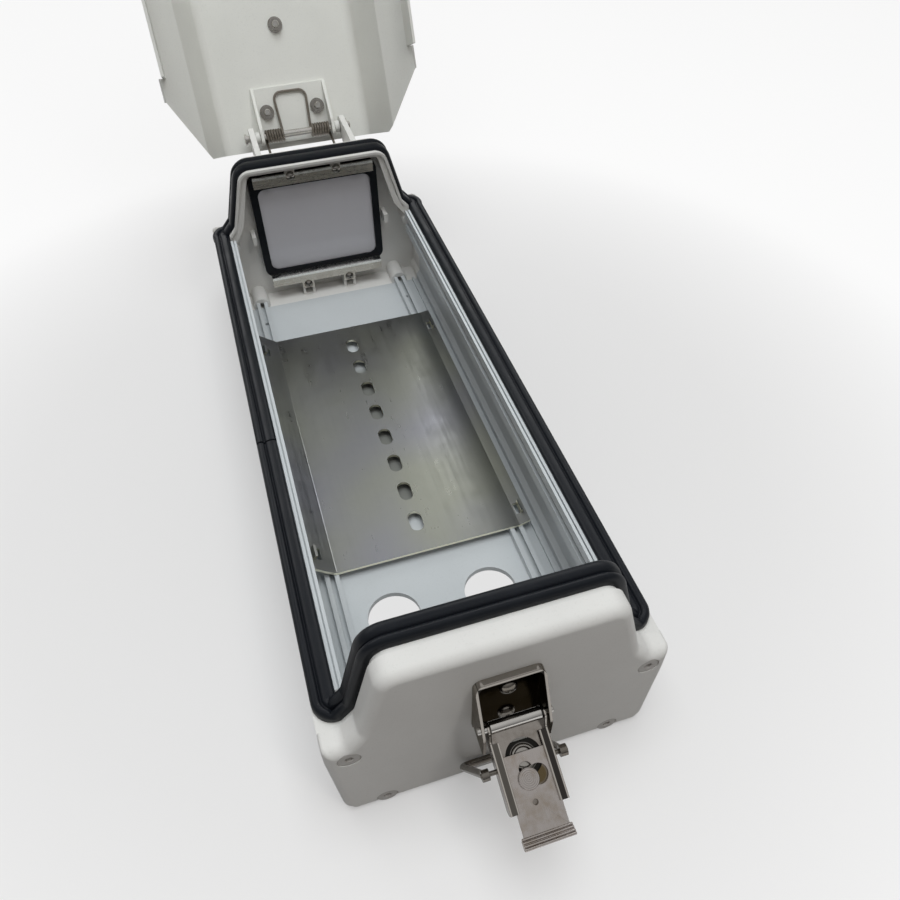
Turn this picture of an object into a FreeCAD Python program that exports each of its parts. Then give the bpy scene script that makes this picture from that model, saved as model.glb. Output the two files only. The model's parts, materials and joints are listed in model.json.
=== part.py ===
"""Security camera housing with its lid open, in millimetres.

An extruded trough is closed by two cast ends.  A folded lid swings on a pin
at the front end, where the window is, and an over-centre latch on the rear
end pulls it down on a rubber gasket that runs round the whole rim.
X is across, +Y is towards the window and +Z is up.  The origin is the centre
of the underside.
"""
import FreeCAD
import Part
import os
from math import atan2, cos, degrees, pi, radians, sin, sqrt, tan

from FreeCAD import Vector

# Body
body_length = 362.0
half_length = body_length / 2
trough_half_width = 66.0
wall = 2.8
floor = 3.0
corner_cut = 4.0
corner_cut_height = 5.0
end_depth = 24.0
end_half_width = trough_half_width + 2.0
end_foot_half_width = trough_half_width - 0.4
end_wall = 4.0
end_face_wall = 4.0

# Rim line that the gasket lies on, seen from the end
rim_height = 98.0
rim_half_width = trough_half_width - 22.6
kink_half_width = trough_half_width - 13.4
kink_height = 63.5
shoulder_half_width = trough_half_width - 6.5
shoulder_height = 55.5
rim_corner_radius = 7.0
kink_radius = 6.0
lip_height = 1.5
lip_width = 10.0
rim_round = 4.5
inner_rim_width = 3.2
inner_rim_gap = 0.2

# Gasket
gasket_width = 9.6
gasket_height = 4.3
gasket_valley = 2.2
gasket_inner = shoulder_half_width - 1.2
gasket_corner_radius = 5.0
gasket_notch_width = 0.6
gasket_notch_place = -25.0
pad_height = 3.9
pad_start = gasket_inner - 2.3
pad_end = 11.4

# Screw channels of the trough
channel_place = trough_half_width - 7.0
channel_height = 50.0
channel_slot = 5.0
channel_lip_place = trough_half_width - 11.0
channel_lip = 2.0
channel_drop = 4.0
channel_web = 1.5
upstand_height = 2.0
upstand_width = 1.4
groove_width = 0.6
groove_depth = 1.8
rail_place = trough_half_width - 18.0
rail_screw_height = 4.9
rail_height = 7.4
rail_half_width = 3.5
rail_slot = 2.5
floor_rib_place = trough_half_width - 8.0
floor_rib_width = 1.6
floor_rib_height = 2.0
inner_corner = trough_half_width - 5.2
inner_corner_low = 7.0
inner_corner_high = 10.0
rail_hole_radius = 1.3
rail_hole_setback = 42.0
rail_hole_place = half_length - rail_hole_setback

# Cable entries
entry_radius = 12.7
entry_spacing = 48.2
entry_place = -101.2

# End screws
screw_core_radius = 2.05
screw_hole_clearance = 0.3
screw_head_radius = 4.4
screw_head_height = 3.2
screw_recess_clearance = 0.1
screw_recess_depth = 3.4
screw_reach = 12.0
screw_boss_radius = 5.4
socket_across = 3.0
socket_depth = 1.8

# Window
window_half_width = trough_half_width - 30.2
window_low = 23.8
window_high = rim_height - 15.9
window_corner = 5.0
window_face_wall = 8.0
pane_overlap = 2.8
pane_thickness = 3.0
frame_border = 4.6
frame_extra_top = 3.6
frame_inner_lip = 1.4
frame_corner = 6.0
bar_sheet = 1.5
bar_half_width = window_half_width + 1.6
bar_height = 7.0
bar_leg = 3.0
bar_stand_off = 5.2
bar_screw_spacing = 28.6
bar_screw_radius = 1.5
bar_screw_head = 2.9
bar_screw_head_height = 2.1
bar_screw_reach = 6.0
upper_screw_reach = 3.2
bar_boss_radius = 3.0
roof_lug_gap = 0.2
lower_ear = 5.0
lug_half_width = 4.0
lug_wall = 1.6
nub_place = window_half_width + 7.6
nub_height = 50.3
nub_size = 2.5
nub_length = 6.0

# Camera plate
plate_sheet = 1.5
plate_near = -73.3
plate_far = 111.0
plate_flat_half_width = rail_place + 2.0
wing_run = 6.0
wing_rise = 0.9
wing_bend = 2.0
wing_corner = 1.2
slot_count = 8
slot_pitch = 20.9
slot_first = -54.4
slot_half_width = 3.5
slot_length = 12.4
tab_places = (-63.0, 96.0)
tab_length = 7.0
tab_slot = 2.4
tab_rise = 2.4
plate_cut_height = 30.0

# Hinge
pin_reach = 33.0
pin_drop = 5.0
pin_y = half_length + pin_reach
pin_z = rim_height - pin_drop
pin_radius = 2.3
pin_half_length = 34.6
pin_head_radius = 3.4
pin_head = 1.6
pin_running_gap = 0.08
ear_place = 28.0
ear_thickness = 3.4
ear_radius = 6.2
ear_root_y = half_length - 5.0
ear_drop = 23.0
ear_foot_z = pin_z - ear_drop
ledge_top = pin_z - 6.0
ledge_thickness = 3.0
ledge_reach = 21.0
clip_radius = 4.4
clip_thickness = 0.8
clip_gap = 0.3
bush_radius = 3.6
bush_end_gap = 0.3
coil_inner_end = 8.3
coil_turns = 8
wire = 1.6
coil_gap = 0.3
loop_half_width = 9.8
loop_reach = 24.6
loop_corner = 3.0
leg_reach = 17.0
leg_gap = 0.3

# Lid, described closed
lid_open_angle = 115.0
lid_sheet = 1.5
lid_over_gasket = 0.4
lid_flat_half_width = rim_half_width + 4.4
lid_band_drop = 33.8
lid_band_half_width = kink_half_width + 6.0
lid_flap_half_width = trough_half_width + 6.2
lid_flap_drop = 46.2
lid_lip_drop = 63.0
lid_flare = 2.8
lid_crease_radius = 6.0
lid_bend_radius = 2.0
lid_front_overhang = 8.0
lid_front_half_width = trough_half_width - 9.3
lid_chamfer_place = 26.0
lid_lip_start = 38.6
lid_rear_gap = 2.0
apron_half_width = rim_half_width - 1.4
apron_low = rim_height - 13.5

# Lid bracket and its fasteners
bracket_sheet = 2.0
bracket_half_width = 24.2
bracket_reach = 29.2
bracket_behind = 5.0
bracket_eye_radius = 5.0
bracket_bolt_place = 16.5
bracket_bolt_reach = 14.4
bolt_radius = 2.0
bolt_head_radius = 4.6
bolt_head_height = 2.2
bolt_hole_gap = 0.25
bolt_proud = 2.4
nut_across = 7.0
nut_height = 3.2
nut_flange_radius = 4.6
nut_flange = 0.9
stud_reach = 64.0

# Latch on the rear end
pivot_depth = 9.2
pivot_height = 62.5
base_sheet = 1.0
base_half_width = 13.0
base_low = pivot_height - 14.1
base_notch = base_low + 2.5
base_high = pivot_height + 19.0
base_corner = 3.5
cheek_top_depth = 2.4
cheek_shoulder = pivot_height - 2.0
cheek_depth = 13.0
base_screw_high = pivot_height + 9.9
base_screw_low = pivot_height - 9.5
base_screw_radius = 1.7
base_screw_head = 3.4
base_screw_head_height = 2.0
base_screw_reach = 3.6
pivot_radius = 1.3
pivot_half_length = 14.2
pivot_hole_gap = 0.06
roller_radius = 2.2
roller_gap = 0.15
lever_angle = 23.0
lever_half_width = 10.8
lever_sheet = 1.0
lever_web = 4.2
lever_flange = 7.9
lever_lip = 3.3
lever_lip_sheet = 0.9
lever_start = 4.2
lever_end = 29.4
lever_eye_radius = 2.7
lever_window_radius = 6.7
lever_window_place = 12.6
link_place = 14.6
link_drop = 6.7
link_pin_radius = 0.9
link_eye_radius = 2.1
link_eye_place = 14.7
link_wire = 2.8
link_end_half_width = 17.6
link_corner = 4.0
link_plate_gap = 0.4
catch_half_width = 8.4
catch_sheet = 1.2
catch_start = 10.7
catch_end = 40.4
catch_lip_half_width = 9.4
catch_lip_height = 2.4
catch_lip_length = 2.6
catch_hole_radius = 1.0
catch_hole_place = 27.4
catch_entry_radius = 3.5
catch_entry_offset = 3.0
catch_travel = 3.0
catch_gap = 0.05
rivet_place = 19.6
rivet_side = -0.9
rivet_radius = 2.2
rivet_head_radius = 3.8
rivet_head = 1.0
rivet_gap = 0.2
leaf_sheet = 0.4
leaf_half_width = 7.0
leaf_end = 24.4
leaf_dome_radius = 4.8
leaf_dome_height = 1.0

# Keeper on the lid
keeper_sheet = 1.2
keeper_half_width = 12.0
keeper_ledge = 4.0
keeper_lip = 3.0
keeper_top = apron_low + 12.5
keeper_rivet_spacing = 14.0
keeper_rivet_height = apron_low + 8.5
keeper_rivet_radius = 1.6
keeper_rivet_head = 2.8
keeper_rivet_head_height = 1.0

# Places that follow from the sizes above
joint_y = half_length - end_depth
shelf_y = half_length - lip_width
gasket_outer = gasket_inner + gasket_width
gasket_top = rim_height + gasket_height
lid_inner_z = gasket_top + lid_over_gasket
lid_rear_y = -half_length - lid_rear_gap
coil_radius = pin_radius + coil_gap + wire / 2
coil_outer_end = coil_inner_end + coil_turns * (wire + 0.08)
plate_z = rail_height
window_face_y = half_length - window_face_wall
frame_inner_y = window_face_y - pane_thickness - 2 * frame_inner_lip
bar_y = frame_inner_y - bar_stand_off
upper_bar_low = window_high + frame_border + frame_extra_top - 4.6
upper_screw_z = upper_bar_low + bar_height - 1.7
lower_bar_high = window_low - 2.8
lower_screw_z = lower_bar_high - bar_height - 1.9
screw_centres = [(side * channel_place, channel_height) for side in (-1, 1)]
screw_centres += [(side * rail_place, rail_screw_height) for side in (-1, 1)]


def in_xz(y):
    """Places a flat outline in the plane of the given Y."""
    return lambda u, v: Vector(u, y, v)


def in_yz(x):
    """Places a flat outline in the plane of the given X."""
    return lambda u, v: Vector(x, u, v)


def in_xy(z):
    """Places a flat outline in the plane of the given Z."""
    return lambda u, v: Vector(u, v, z)


def outline(points, place, closed=True):
    """A wire through points (u, v) or (u, v, radius), with a tangent arc at each radius."""
    count = len(points)
    corners = [Vector(point[0], point[1], 0) for point in points]
    starts = []
    ends = []
    middles = []
    for index, point in enumerate(points):
        corner = corners[index]
        radius = point[2] if len(point) > 2 else 0
        at_tip = not closed and index in (0, count - 1)
        if radius == 0 or at_tip:
            starts.append(corner)
            ends.append(corner)
            middles.append(None)
            continue
        back = (corners[index - 1] - corner).normalize()
        ahead = (corners[(index + 1) % count] - corner).normalize()
        half = back.getAngle(ahead) / 2
        bisector = (back + ahead).normalize()
        starts.append(corner + back * (radius / tan(half)))
        ends.append(corner + ahead * (radius / tan(half)))
        middles.append(corner + bisector * (radius / sin(half) - radius))
    edges = []
    for index in range(count):
        if middles[index] is not None:
            arc = [place(p.x, p.y) for p in (starts[index], middles[index], ends[index])]
            edges.append(Part.Arc(*arc).toShape())
        following = (index + 1) % count
        is_last = not closed and index == count - 1
        if not is_last and (starts[following] - ends[index]).Length > 1e-6:
            a = place(ends[index].x, ends[index].y)
            b = place(starts[following].x, starts[following].y)
            edges.append(Part.LineSegment(a, b).toShape())
    return Part.Wire(edges)


def prism(points, place, along, holes=()):
    """An outline, less its holes, pushed along a vector."""
    face = Part.Face(outline(points, place))
    for hole in holes:
        face = face.cut(Part.Face(outline(hole, place)))
    return face.extrude(along)


def along_y(points, y0, y1, holes=()):
    return prism(points, in_xz(y0), Vector(0, y1 - y0, 0), holes)


def along_x(points, x0, x1):
    return prism(points, in_yz(x0), Vector(x1 - x0, 0, 0))


def along_z(points, z0, z1):
    return prism(points, in_xy(z0), Vector(0, 0, z1 - z0))


def box(x0, x1, y0, y1, z0, z1):
    return Part.makeBox(x1 - x0, y1 - y0, z1 - z0, Vector(x0, y0, z0))


def rod(radius, start, end):
    """A cylinder from one point to another."""
    axis = end - start
    return Part.makeCylinder(radius, axis.Length, start, axis)


def hexagon(across, start, height, axis):
    """A hexagonal prism with the given width across its flats."""
    points = [Vector(across / sqrt(3) * cos(k * pi / 3), across / sqrt(3) * sin(k * pi / 3), 0)
              for k in range(7)]
    solid = Part.Face(Part.makePolygon(points)).extrude(Vector(0, 0, height))
    solid.Placement = FreeCAD.Placement(start, FreeCAD.Rotation(Vector(0, 0, 1), axis))
    return solid


def turned(profile, centre, axis):
    """A profile of (radius, height) points turned about an axis through the centre."""
    face = Part.Face(Part.makePolygon([Vector(r, 0, h) for r, h in profile + profile[:1]]))
    solid = face.revolve(Vector(0, 0, 0), Vector(0, 0, 1), 360)
    solid.Placement = FreeCAD.Placement(centre, FreeCAD.Rotation(Vector(0, 0, 1), axis))
    return solid


def both_sides(shape):
    """A shape with its mirror image across X = 0."""
    return [shape, shape.mirror(Vector(0, 0, 0), Vector(1, 0, 0))]


def joined(shapes):
    """One solid made of touching or crossing shapes."""
    result = shapes[0].fuse(shapes[1:]) if len(shapes) > 1 else shapes[0]
    return result.removeSplitter()


def shifted(points, distance):
    """An open line of (u, v, radius) points moved sideways to its left, with its arcs adjusted."""
    moved = []
    count = len(points)
    spans = []
    for index in range(count - 1):
        a = Vector(*points[index][:2], 0)
        b = Vector(*points[index + 1][:2], 0)
        step = (b - a).normalize()
        spans.append((a + Vector(-step.y, step.x, 0) * distance, step))
    moved.append((spans[0][0].x, spans[0][0].y, 0))
    for index in range(1, count - 1):
        start, step = spans[index - 1]
        other, turn = spans[index]
        cross = step.x * turn.y - step.y * turn.x
        gap = other - start
        reach = (gap.x * turn.y - gap.y * turn.x) / cross
        corner = start + step * reach
        radius = points[index][2]
        moved.append((corner.x, corner.y, radius - distance if cross > 0 else radius + distance))
    last, step = spans[-1]
    tip = Vector(*points[-1][:2], 0)
    final = last + step * ((tip - last).dot(step))
    moved.append((final.x, final.y, 0))
    return moved


def rim_line(offset, half_width):
    """The rim line over the top from left to right, raised by an offset, out to a half width."""
    right = [(rim_half_width, rim_height, rim_corner_radius),
             (kink_half_width, kink_height, kink_radius),
             (shoulder_half_width, shoulder_height, kink_radius),
             (half_width, shoulder_height, 0)]
    left = [(-x, z, r) for x, z, r in reversed(right)]
    return shifted(left + right, offset)


def end_outline(offset):
    """The whole outline of an end casting, with its rim raised by an offset."""
    top = rim_line(offset, end_half_width)
    shoulder = 1.5 if offset > 0 else 0
    top[0] = (top[0][0], top[0][1], shoulder)
    top[-1] = (top[-1][0], top[-1][1], shoulder)
    side = [(end_half_width, channel_height - 5.0, 8.0),
            (end_foot_half_width, corner_cut_height, 3.0),
            (trough_half_width - corner_cut + 0.5, 0, 2.0)]
    return top + side + [(-x, z, r) for x, z, r in reversed(side)]


def end_cavity():
    """The inside of an end casting, which lines up with the inside of the trough."""
    inner = trough_half_width - wall
    top = rim_line(-end_wall, inner)
    side = [(inner, inner_corner_high, 2.0), (inner_corner, inner_corner_low, 2.0),
            (inner_corner, floor, 1.5)]
    return top + side + [(-x, z, r) for x, z, r in reversed(side)]


def make_end_shell(face_wall):
    """The cast end at the rear, open towards the trough, without what only one end has."""
    outer = -half_length
    lip = along_y(end_outline(lip_height), outer, outer + lip_width)
    top_edges = [edge for edge in lip.Edges
                 if abs(edge.BoundBox.YMin - outer) < 1e-6 and edge.BoundBox.YLength < 1e-6
                 and edge.BoundBox.ZMin > kink_height - 4.0]
    lip = lip.makeFillet(rim_round, top_edges)
    skirt = along_y(end_outline(0), outer + lip_width, -joint_y)
    rim_start = outer + lip_width + gasket_width + inner_rim_gap
    rim = along_y(end_outline(lip_height), rim_start, rim_start + inner_rim_width)
    over_side = box(gasket_inner - inner_rim_gap, 2 * end_half_width, rim_start - inner_rim_gap,
                    -joint_y + 1, shoulder_height, rim_height)
    shell = joined([lip, skirt, rim]).cut(both_sides(over_side))
    shell = shell.cut(along_y(end_cavity(), outer + face_wall, -joint_y + 1))
    blank = along_y(end_outline(0), outer + face_wall - 0.5, -joint_y)
    bosses = [rod(screw_boss_radius, Vector(x, outer + face_wall - 0.5, z), Vector(x, -joint_y, z))
              .common(blank) for x, z in screw_centres]
    shell = joined([shell] + bosses)
    hole = screw_core_radius + screw_hole_clearance
    recess = screw_head_radius + screw_recess_clearance
    cuts = []
    for x, z in screw_centres:
        cuts.append(rod(hole, Vector(x, outer - 1, z), Vector(x, -joint_y + 1, z)))
        cuts.append(rod(recess, Vector(x, outer - 1, z), Vector(x, outer + screw_recess_depth, z)))
    return shell.cut(cuts)


def turned_round(shape):
    """A shape of the rear end, moved to the front end."""
    return shape.mirror(Vector(0, 0, 0), Vector(0, 1, 0))


def make_trough():
    """The extrusion: floor, two walls, gasket flanges, screw channels and rails."""
    inner = trough_half_width - wall
    slot_low = channel_height - channel_slot / 2
    slot_high = channel_height + channel_slot / 2
    lip_end = channel_lip_place + channel_lip
    upstand = gasket_inner - upstand_width
    flange_edge = end_half_width - 1.0
    lip_top = shoulder_height + upstand_height - 0.2
    right = [
        (trough_half_width - corner_cut, 0), (trough_half_width, corner_cut_height),
        (trough_half_width, shoulder_height - floor), (flange_edge, shoulder_height - floor + 1.0),
        (flange_edge, shoulder_height), (gasket_inner, shoulder_height),
        (gasket_inner, shoulder_height + upstand_height),
        (upstand, shoulder_height + upstand_height), (upstand, lip_top - groove_depth),
        (upstand - groove_width, lip_top - groove_depth), (upstand - groove_width, lip_top),
        (channel_lip_place, lip_top), (channel_lip_place, slot_high),
        (inner, slot_high), (inner, slot_low), (channel_lip_place, slot_low),
        (channel_lip_place, slot_low - channel_web - channel_drop),
        (lip_end, slot_low - channel_web - channel_drop), (lip_end, slot_low - channel_web),
        (inner, slot_low - channel_web), (inner, inner_corner_high),
        (inner_corner, inner_corner_low), (inner_corner, floor),
        (floor_rib_place + floor_rib_width / 2, floor),
        (floor_rib_place + floor_rib_width / 2, floor + floor_rib_height),
        (floor_rib_place - floor_rib_width / 2, floor + floor_rib_height),
        (floor_rib_place - floor_rib_width / 2, floor),
        (rail_place + rail_half_width, floor), (rail_place + rail_half_width, rail_height),
        (rail_place + rail_slot / 2, rail_height), (rail_place + rail_slot / 2, rail_screw_height),
        (rail_place - rail_slot / 2, rail_screw_height), (rail_place - rail_slot / 2, rail_height),
        (rail_place - rail_half_width, rail_height), (rail_place - rail_half_width, floor),
    ]
    points = right + [(-x, z) for x, z in reversed(right)]
    trough = along_y(points, -joint_y, joint_y)
    cuts = []
    for side in (-1, 1):
        x = side * rail_place
        cuts.append(rod(screw_core_radius, Vector(x, -joint_y - 1, rail_screw_height),
                        Vector(x, joint_y + 1, rail_screw_height)))
        cuts.append(rod(rail_hole_radius, Vector(x, rail_hole_place, -1),
                        Vector(x, rail_hole_place, rail_screw_height)))
        x = side * entry_spacing / 2
        cuts.append(rod(entry_radius, Vector(x, entry_place, -1), Vector(x, entry_place, floor + 1)))
    return trough.cut(cuts)


def make_end_screws():
    """Four socket screws at the rear end, flush in their recesses."""
    screws = []
    head_y = -half_length + screw_recess_depth - screw_head_height
    for x, z in screw_centres:
        start = Vector(x, head_y, z)
        head = rod(screw_head_radius, start, start + Vector(0, screw_head_height, 0))
        shank = rod(screw_core_radius, start, Vector(x, -joint_y + screw_reach, z))
        socket = hexagon(socket_across, start, socket_depth, Vector(0, 1, 0))
        screws.append(head.fuse(shank).cut(socket).removeSplitter())
    return screws


def latch_point(reach, rise):
    """A point beside the latch pivot, along the lever and out from it, as (y, z)."""
    tilt = radians(lever_angle)
    y = -half_length - pivot_depth - reach * cos(tilt) - rise * sin(tilt)
    z = pivot_height - reach * sin(tilt) + rise * cos(tilt)
    return y, z


def make_rear_plate():
    shell = make_end_shell(end_face_wall)
    for z in (base_screw_high, base_screw_low):
        outer = Vector(0, -half_length - 1, z)
        shell = shell.cut(rod(base_screw_radius, outer, Vector(0, -half_length + base_screw_reach, z)))
    return shell


def window_outline(border, extra_top, corner):
    """The window's opening, grown by a border."""
    half = window_half_width + border
    low = window_low - border
    high = window_high + border + extra_top
    return [(-half, low, corner), (half, low, corner), (half, high, corner), (-half, high, corner)]


def make_front_plate():
    shell = turned_round(make_end_shell(window_face_wall))
    opening = along_y(window_outline(0, 0, window_corner), window_face_y - 1, half_length + 1)
    parts = [shell]
    face_y = window_face_y + 0.5
    seat = bar_y + bar_sheet
    for side in (-1, 1):
        x = side * bar_screw_spacing / 2
        parts.append(rod(bar_boss_radius, Vector(x, face_y, lower_screw_z),
                         Vector(x, seat, lower_screw_z)))
        parts.append(box(x - bar_boss_radius, x + bar_boss_radius, seat, frame_inner_y - roof_lug_gap,
                         upper_bar_low + bar_leg + roof_lug_gap, rim_height - end_wall + 0.5))
        wing = lug_half_width - lug_wall
        lug = along_y([(x - lug_half_width, floor - 0.5), (x + lug_half_width, floor - 0.5),
                       (x + lug_half_width, lower_screw_z), (x + wing, lower_screw_z),
                       (x + wing, floor + 1.0), (x - wing, floor + 1.0),
                       (x - wing, lower_screw_z), (x - lug_half_width, lower_screw_z)],
                      seat, face_y)
        parts.append(lug)
        nub = box(side * nub_place - nub_size / 2, side * nub_place + nub_size / 2,
                  bar_y + 1.0, face_y, nub_height - nub_length / 2, nub_height + nub_length / 2)
        parts.append(nub)
    ledge = box(-ear_place - 1, ear_place + 1, half_length - 3, half_length + ledge_reach,
                ledge_top - ledge_thickness, ledge_top)
    parts.append(ledge)
    ear_points = [(ear_root_y, pin_z + ear_radius), (pin_y, pin_z + ear_radius),
                  (pin_y + ear_radius, pin_z + ear_radius, ear_radius - 0.2),
                  (pin_y + ear_radius, pin_z - 3.0, 4.0), (half_length - 1, ear_foot_z),
                  (ear_root_y, ear_foot_z)]
    ear = along_x(ear_points, ear_place, ear_place + ear_thickness)
    inside = along_y(end_cavity(), joint_y, window_face_y)
    parts += both_sides(ear.cut(inside))
    plate = joined(parts)
    hole = pin_radius + pin_running_gap
    cuts = [opening, rod(hole, Vector(-2 * ear_place, pin_y, pin_z), Vector(2 * ear_place, pin_y, pin_z))]
    for side in (-1, 1):
        x = side * bar_screw_spacing / 2
        for z, reach in ((upper_screw_z, upper_screw_reach), (lower_screw_z, bar_screw_reach)):
            cuts.append(rod(bar_screw_radius, Vector(x, bar_y - 1, z),
                            Vector(x, bar_y + bar_sheet + reach, z)))
    return plate.cut(cuts)


def gasket_section():
    """The section of the gasket, flat side down: two round beads with a groove between them."""
    half = gasket_width / 2
    bead = half / 2
    top = gasket_height
    return [(-half, 0), (half, 0), (half, top - bead),
            (half, top, bead * 0.9), (0.6, top, bead * 0.9), (0.35, gasket_valley),
            (-0.35, gasket_valley), (-0.6, top, bead * 0.9), (-half, top, bead * 0.9),
            (-half, top - bead)]


def carried(path, section):
    """A section of (y, rise) points carried along a wire of lines and arcs that faces along Y."""
    across = Vector(0, 1, 0)
    pieces = []
    for edge in path.Edges:
        start = edge.valueAt(edge.FirstParameter)
        ahead = edge.tangentAt(edge.FirstParameter)
        up = ahead.cross(across)

        def place(u, v):
            return start + across * u + up * v
        face = Part.Face(outline(section, place))
        if isinstance(edge.Curve, Part.Circle):
            arm = start - edge.Curve.Center
            turn = degrees(edge.Length / edge.Curve.Radius)
            pieces.append(face.revolve(edge.Curve.Center, arm.cross(ahead), turn))
        else:
            pieces.append(face.extrude(ahead * edge.Length))
    return joined(pieces)


def make_gasket():
    """One closed loop: beads along the sides and over the ends, and a plain pad at each corner."""
    middle = gasket_inner + gasket_width / 2
    end_y = shelf_y - gasket_width / 2
    section = [(x + middle, z + shoulder_height, *r) for x, z, *r in gasket_section()]
    side_reach = shelf_y - gasket_width - inner_rim_gap
    side = along_y(section, -side_reach, side_reach)
    path = outline(rim_line(0, gasket_outer), in_xz(-end_y), closed=False)
    end = carried(path, gasket_section())
    reach = pad_start + 0.5
    end = end.common(box(-reach, reach, -shelf_y - 1, -shelf_y + gasket_width + 1, 0, 2 * rim_height))
    low = rim_line(0, gasket_outer)[4:]
    high = rim_line(pad_height, gasket_outer)[4:]
    high[-1] = (high[-1][0], high[-1][1], 1.0)
    pad = along_y(low + list(reversed(high)), -shelf_y, -shelf_y + pad_end)
    radius = gasket_corner_radius
    plan = along_z([(pad_start, -shelf_y), (gasket_outer, -shelf_y, radius),
                    (gasket_outer, -shelf_y + pad_end), (gasket_inner, -shelf_y + pad_end),
                    (gasket_inner, -shelf_y + gasket_width), (pad_start, -shelf_y + gasket_width)],
                   0, 2 * rim_height)
    pad = pad.common(plan)
    loop = joined([end, turned_round(end)] + both_sides(side) + both_sides(pad)
                  + both_sides(turned_round(pad)))
    notch = box(-gasket_outer - 1, -gasket_inner + 1, gasket_notch_place,
                gasket_notch_place + gasket_notch_width, shoulder_height + gasket_valley - 0.4,
                shoulder_height + gasket_height + 1)
    return loop.cut(notch)


def make_window_glass():
    pane_y = window_face_y - frame_inner_lip
    return along_y(window_outline(pane_overlap, 0, window_corner), pane_y - pane_thickness, pane_y)


def make_window_gasket():
    """A rubber frame with a groove that holds the pane."""
    block = along_y(window_outline(frame_border, frame_extra_top, frame_corner), frame_inner_y,
                    window_face_y, [window_outline(0, 0, window_corner)])
    return block.cut(make_window_glass())


def make_upper_clamp_bar():
    """A folded bar: a leg on the rubber, a web across and a flange for the screws."""
    low = upper_bar_low
    leg = low + bar_leg
    bar = along_x([(frame_inner_y, low), (frame_inner_y, leg),
                   (frame_inner_y - bar_sheet, leg), (frame_inner_y - bar_sheet, low + bar_sheet),
                   (bar_y + bar_sheet, low + bar_sheet), (bar_y + bar_sheet, low + bar_height),
                   (bar_y, low + bar_height), (bar_y, low)], -bar_half_width, bar_half_width)
    return drill_bar(bar, upper_screw_z)


def make_lower_clamp_bar():
    high = lower_bar_high
    leg = high - bar_leg
    bar = along_x([(frame_inner_y, high), (frame_inner_y, leg),
                   (frame_inner_y - bar_sheet, leg), (frame_inner_y - bar_sheet, high - bar_sheet),
                   (bar_y + bar_sheet, high - bar_sheet), (bar_y + bar_sheet, high - bar_height),
                   (bar_y, high - bar_height), (bar_y, high)], -bar_half_width, bar_half_width)
    ears = [box(side * bar_screw_spacing / 2 - lug_half_width, side * bar_screw_spacing / 2 + lug_half_width,
                bar_y, bar_y + bar_sheet, high - bar_height - lower_ear, high - bar_height + 0.5)
            for side in (-1, 1)]
    return drill_bar(joined([bar] + ears), lower_screw_z)


def drill_bar(bar, z):
    for side in (-1, 1):
        x = side * bar_screw_spacing / 2
        bar = bar.cut(rod(bar_screw_radius + bolt_hole_gap, Vector(x, bar_y - 1, z),
                          Vector(x, bar_y + bar_sheet + 1, z)))
    return bar


def domed_screw(x, y, z, radius, head_radius, head_height, reach):
    """A round-head screw whose head faces -Y and sits at the given point."""
    shank = rod(radius, Vector(x, y, z), Vector(x, y + reach, z))
    ball_radius = (head_radius ** 2 + head_height ** 2) / (2 * head_height)
    ball = Part.makeSphere(ball_radius, Vector(x, y - head_height + ball_radius, z))
    head = ball.common(rod(head_radius, Vector(x, y - head_height, z), Vector(x, y, z)))
    slot = box(x - head_radius, x + head_radius, y - head_height, y - head_height * 0.5,
               z - 0.35, z + 0.35)
    return joined([head, shank]).cut(slot)


def make_clamp_screws():
    return [domed_screw(side * bar_screw_spacing / 2, bar_y, z, bar_screw_radius, bar_screw_head,
                        bar_screw_head_height, bar_sheet + reach)
            for side in (-1, 1)
            for z, reach in ((upper_screw_z, upper_screw_reach), (lower_screw_z, bar_screw_reach))]


def make_camera_plate():
    """Folded sheet with two raised wings, a row of slots and a sprung tab near each corner."""
    tip = plate_flat_half_width + wing_run
    low = [(-tip, plate_z + wing_rise, 0), (-plate_flat_half_width, plate_z, wing_bend),
           (plate_flat_half_width, plate_z, wing_bend), (tip, plate_z + wing_rise, 0)]
    high = shifted(low, plate_sheet)
    sheet = along_y(low + list(reversed(high)), plate_near, plate_far)
    cuts = []
    for side in (-1, 1):
        fold = side * plate_flat_half_width
        edge = side * (tip + 2)
        cuts.append(along_z([(fold, plate_near - 1), (fold, plate_near),
                             (edge, plate_near + wing_corner), (edge, plate_near - 1)], 0, plate_cut_height))
        for y in tab_places:
            x = side * (tip - 3.0)
            cuts.append(box(min(x, x - side * tab_slot), max(x, x - side * tab_slot),
                            y - tab_length / 2, y + tab_length / 2, 0, plate_cut_height))
    for index in range(slot_count):
        y = slot_first + index * slot_pitch
        reach = slot_length / 2
        cuts.append(along_z([(-slot_half_width, y - reach, slot_half_width - 0.01),
                             (slot_half_width, y - reach, slot_half_width - 0.01),
                             (slot_half_width, y + reach, slot_half_width - 0.01),
                             (-slot_half_width, y + reach, slot_half_width - 0.01)], 0, plate_cut_height))
    sheet = sheet.cut(cuts)
    slope = wing_rise / wing_run
    tabs = []
    for side in (-1, 1):
        for y in tab_places:
            x = side * (tip - 3.0)
            z = plate_z + (wing_run - 3.0) * slope
            tab = box(min(x, x + side * 1.0), max(x, x + side * 1.0), y - tab_length / 2,
                      y + tab_length / 2, z + plate_sheet / 2, z + plate_sheet + tab_rise)
            tabs.append(tab)
    return joined([sheet] + tabs)


def make_hinge_pin():
    pin = rod(pin_radius, Vector(-pin_half_length, pin_y, pin_z), Vector(pin_half_length, pin_y, pin_z))
    head = rod(pin_head_radius, Vector(-pin_half_length, pin_y, pin_z),
               Vector(-pin_half_length + pin_head, pin_y, pin_z))
    return joined([pin, head])


def ring(radius, bore, x0, x1):
    """A ring about the hinge pin."""
    start = Vector(x0, pin_y, pin_z)
    end = Vector(x1, pin_y, pin_z)
    return rod(radius, start, end).cut(rod(bore, start, end))


def make_pin_clips():
    start = ear_place + ear_thickness + clip_gap
    return [ring(clip_radius, pin_radius, start, start + clip_thickness)]


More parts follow.
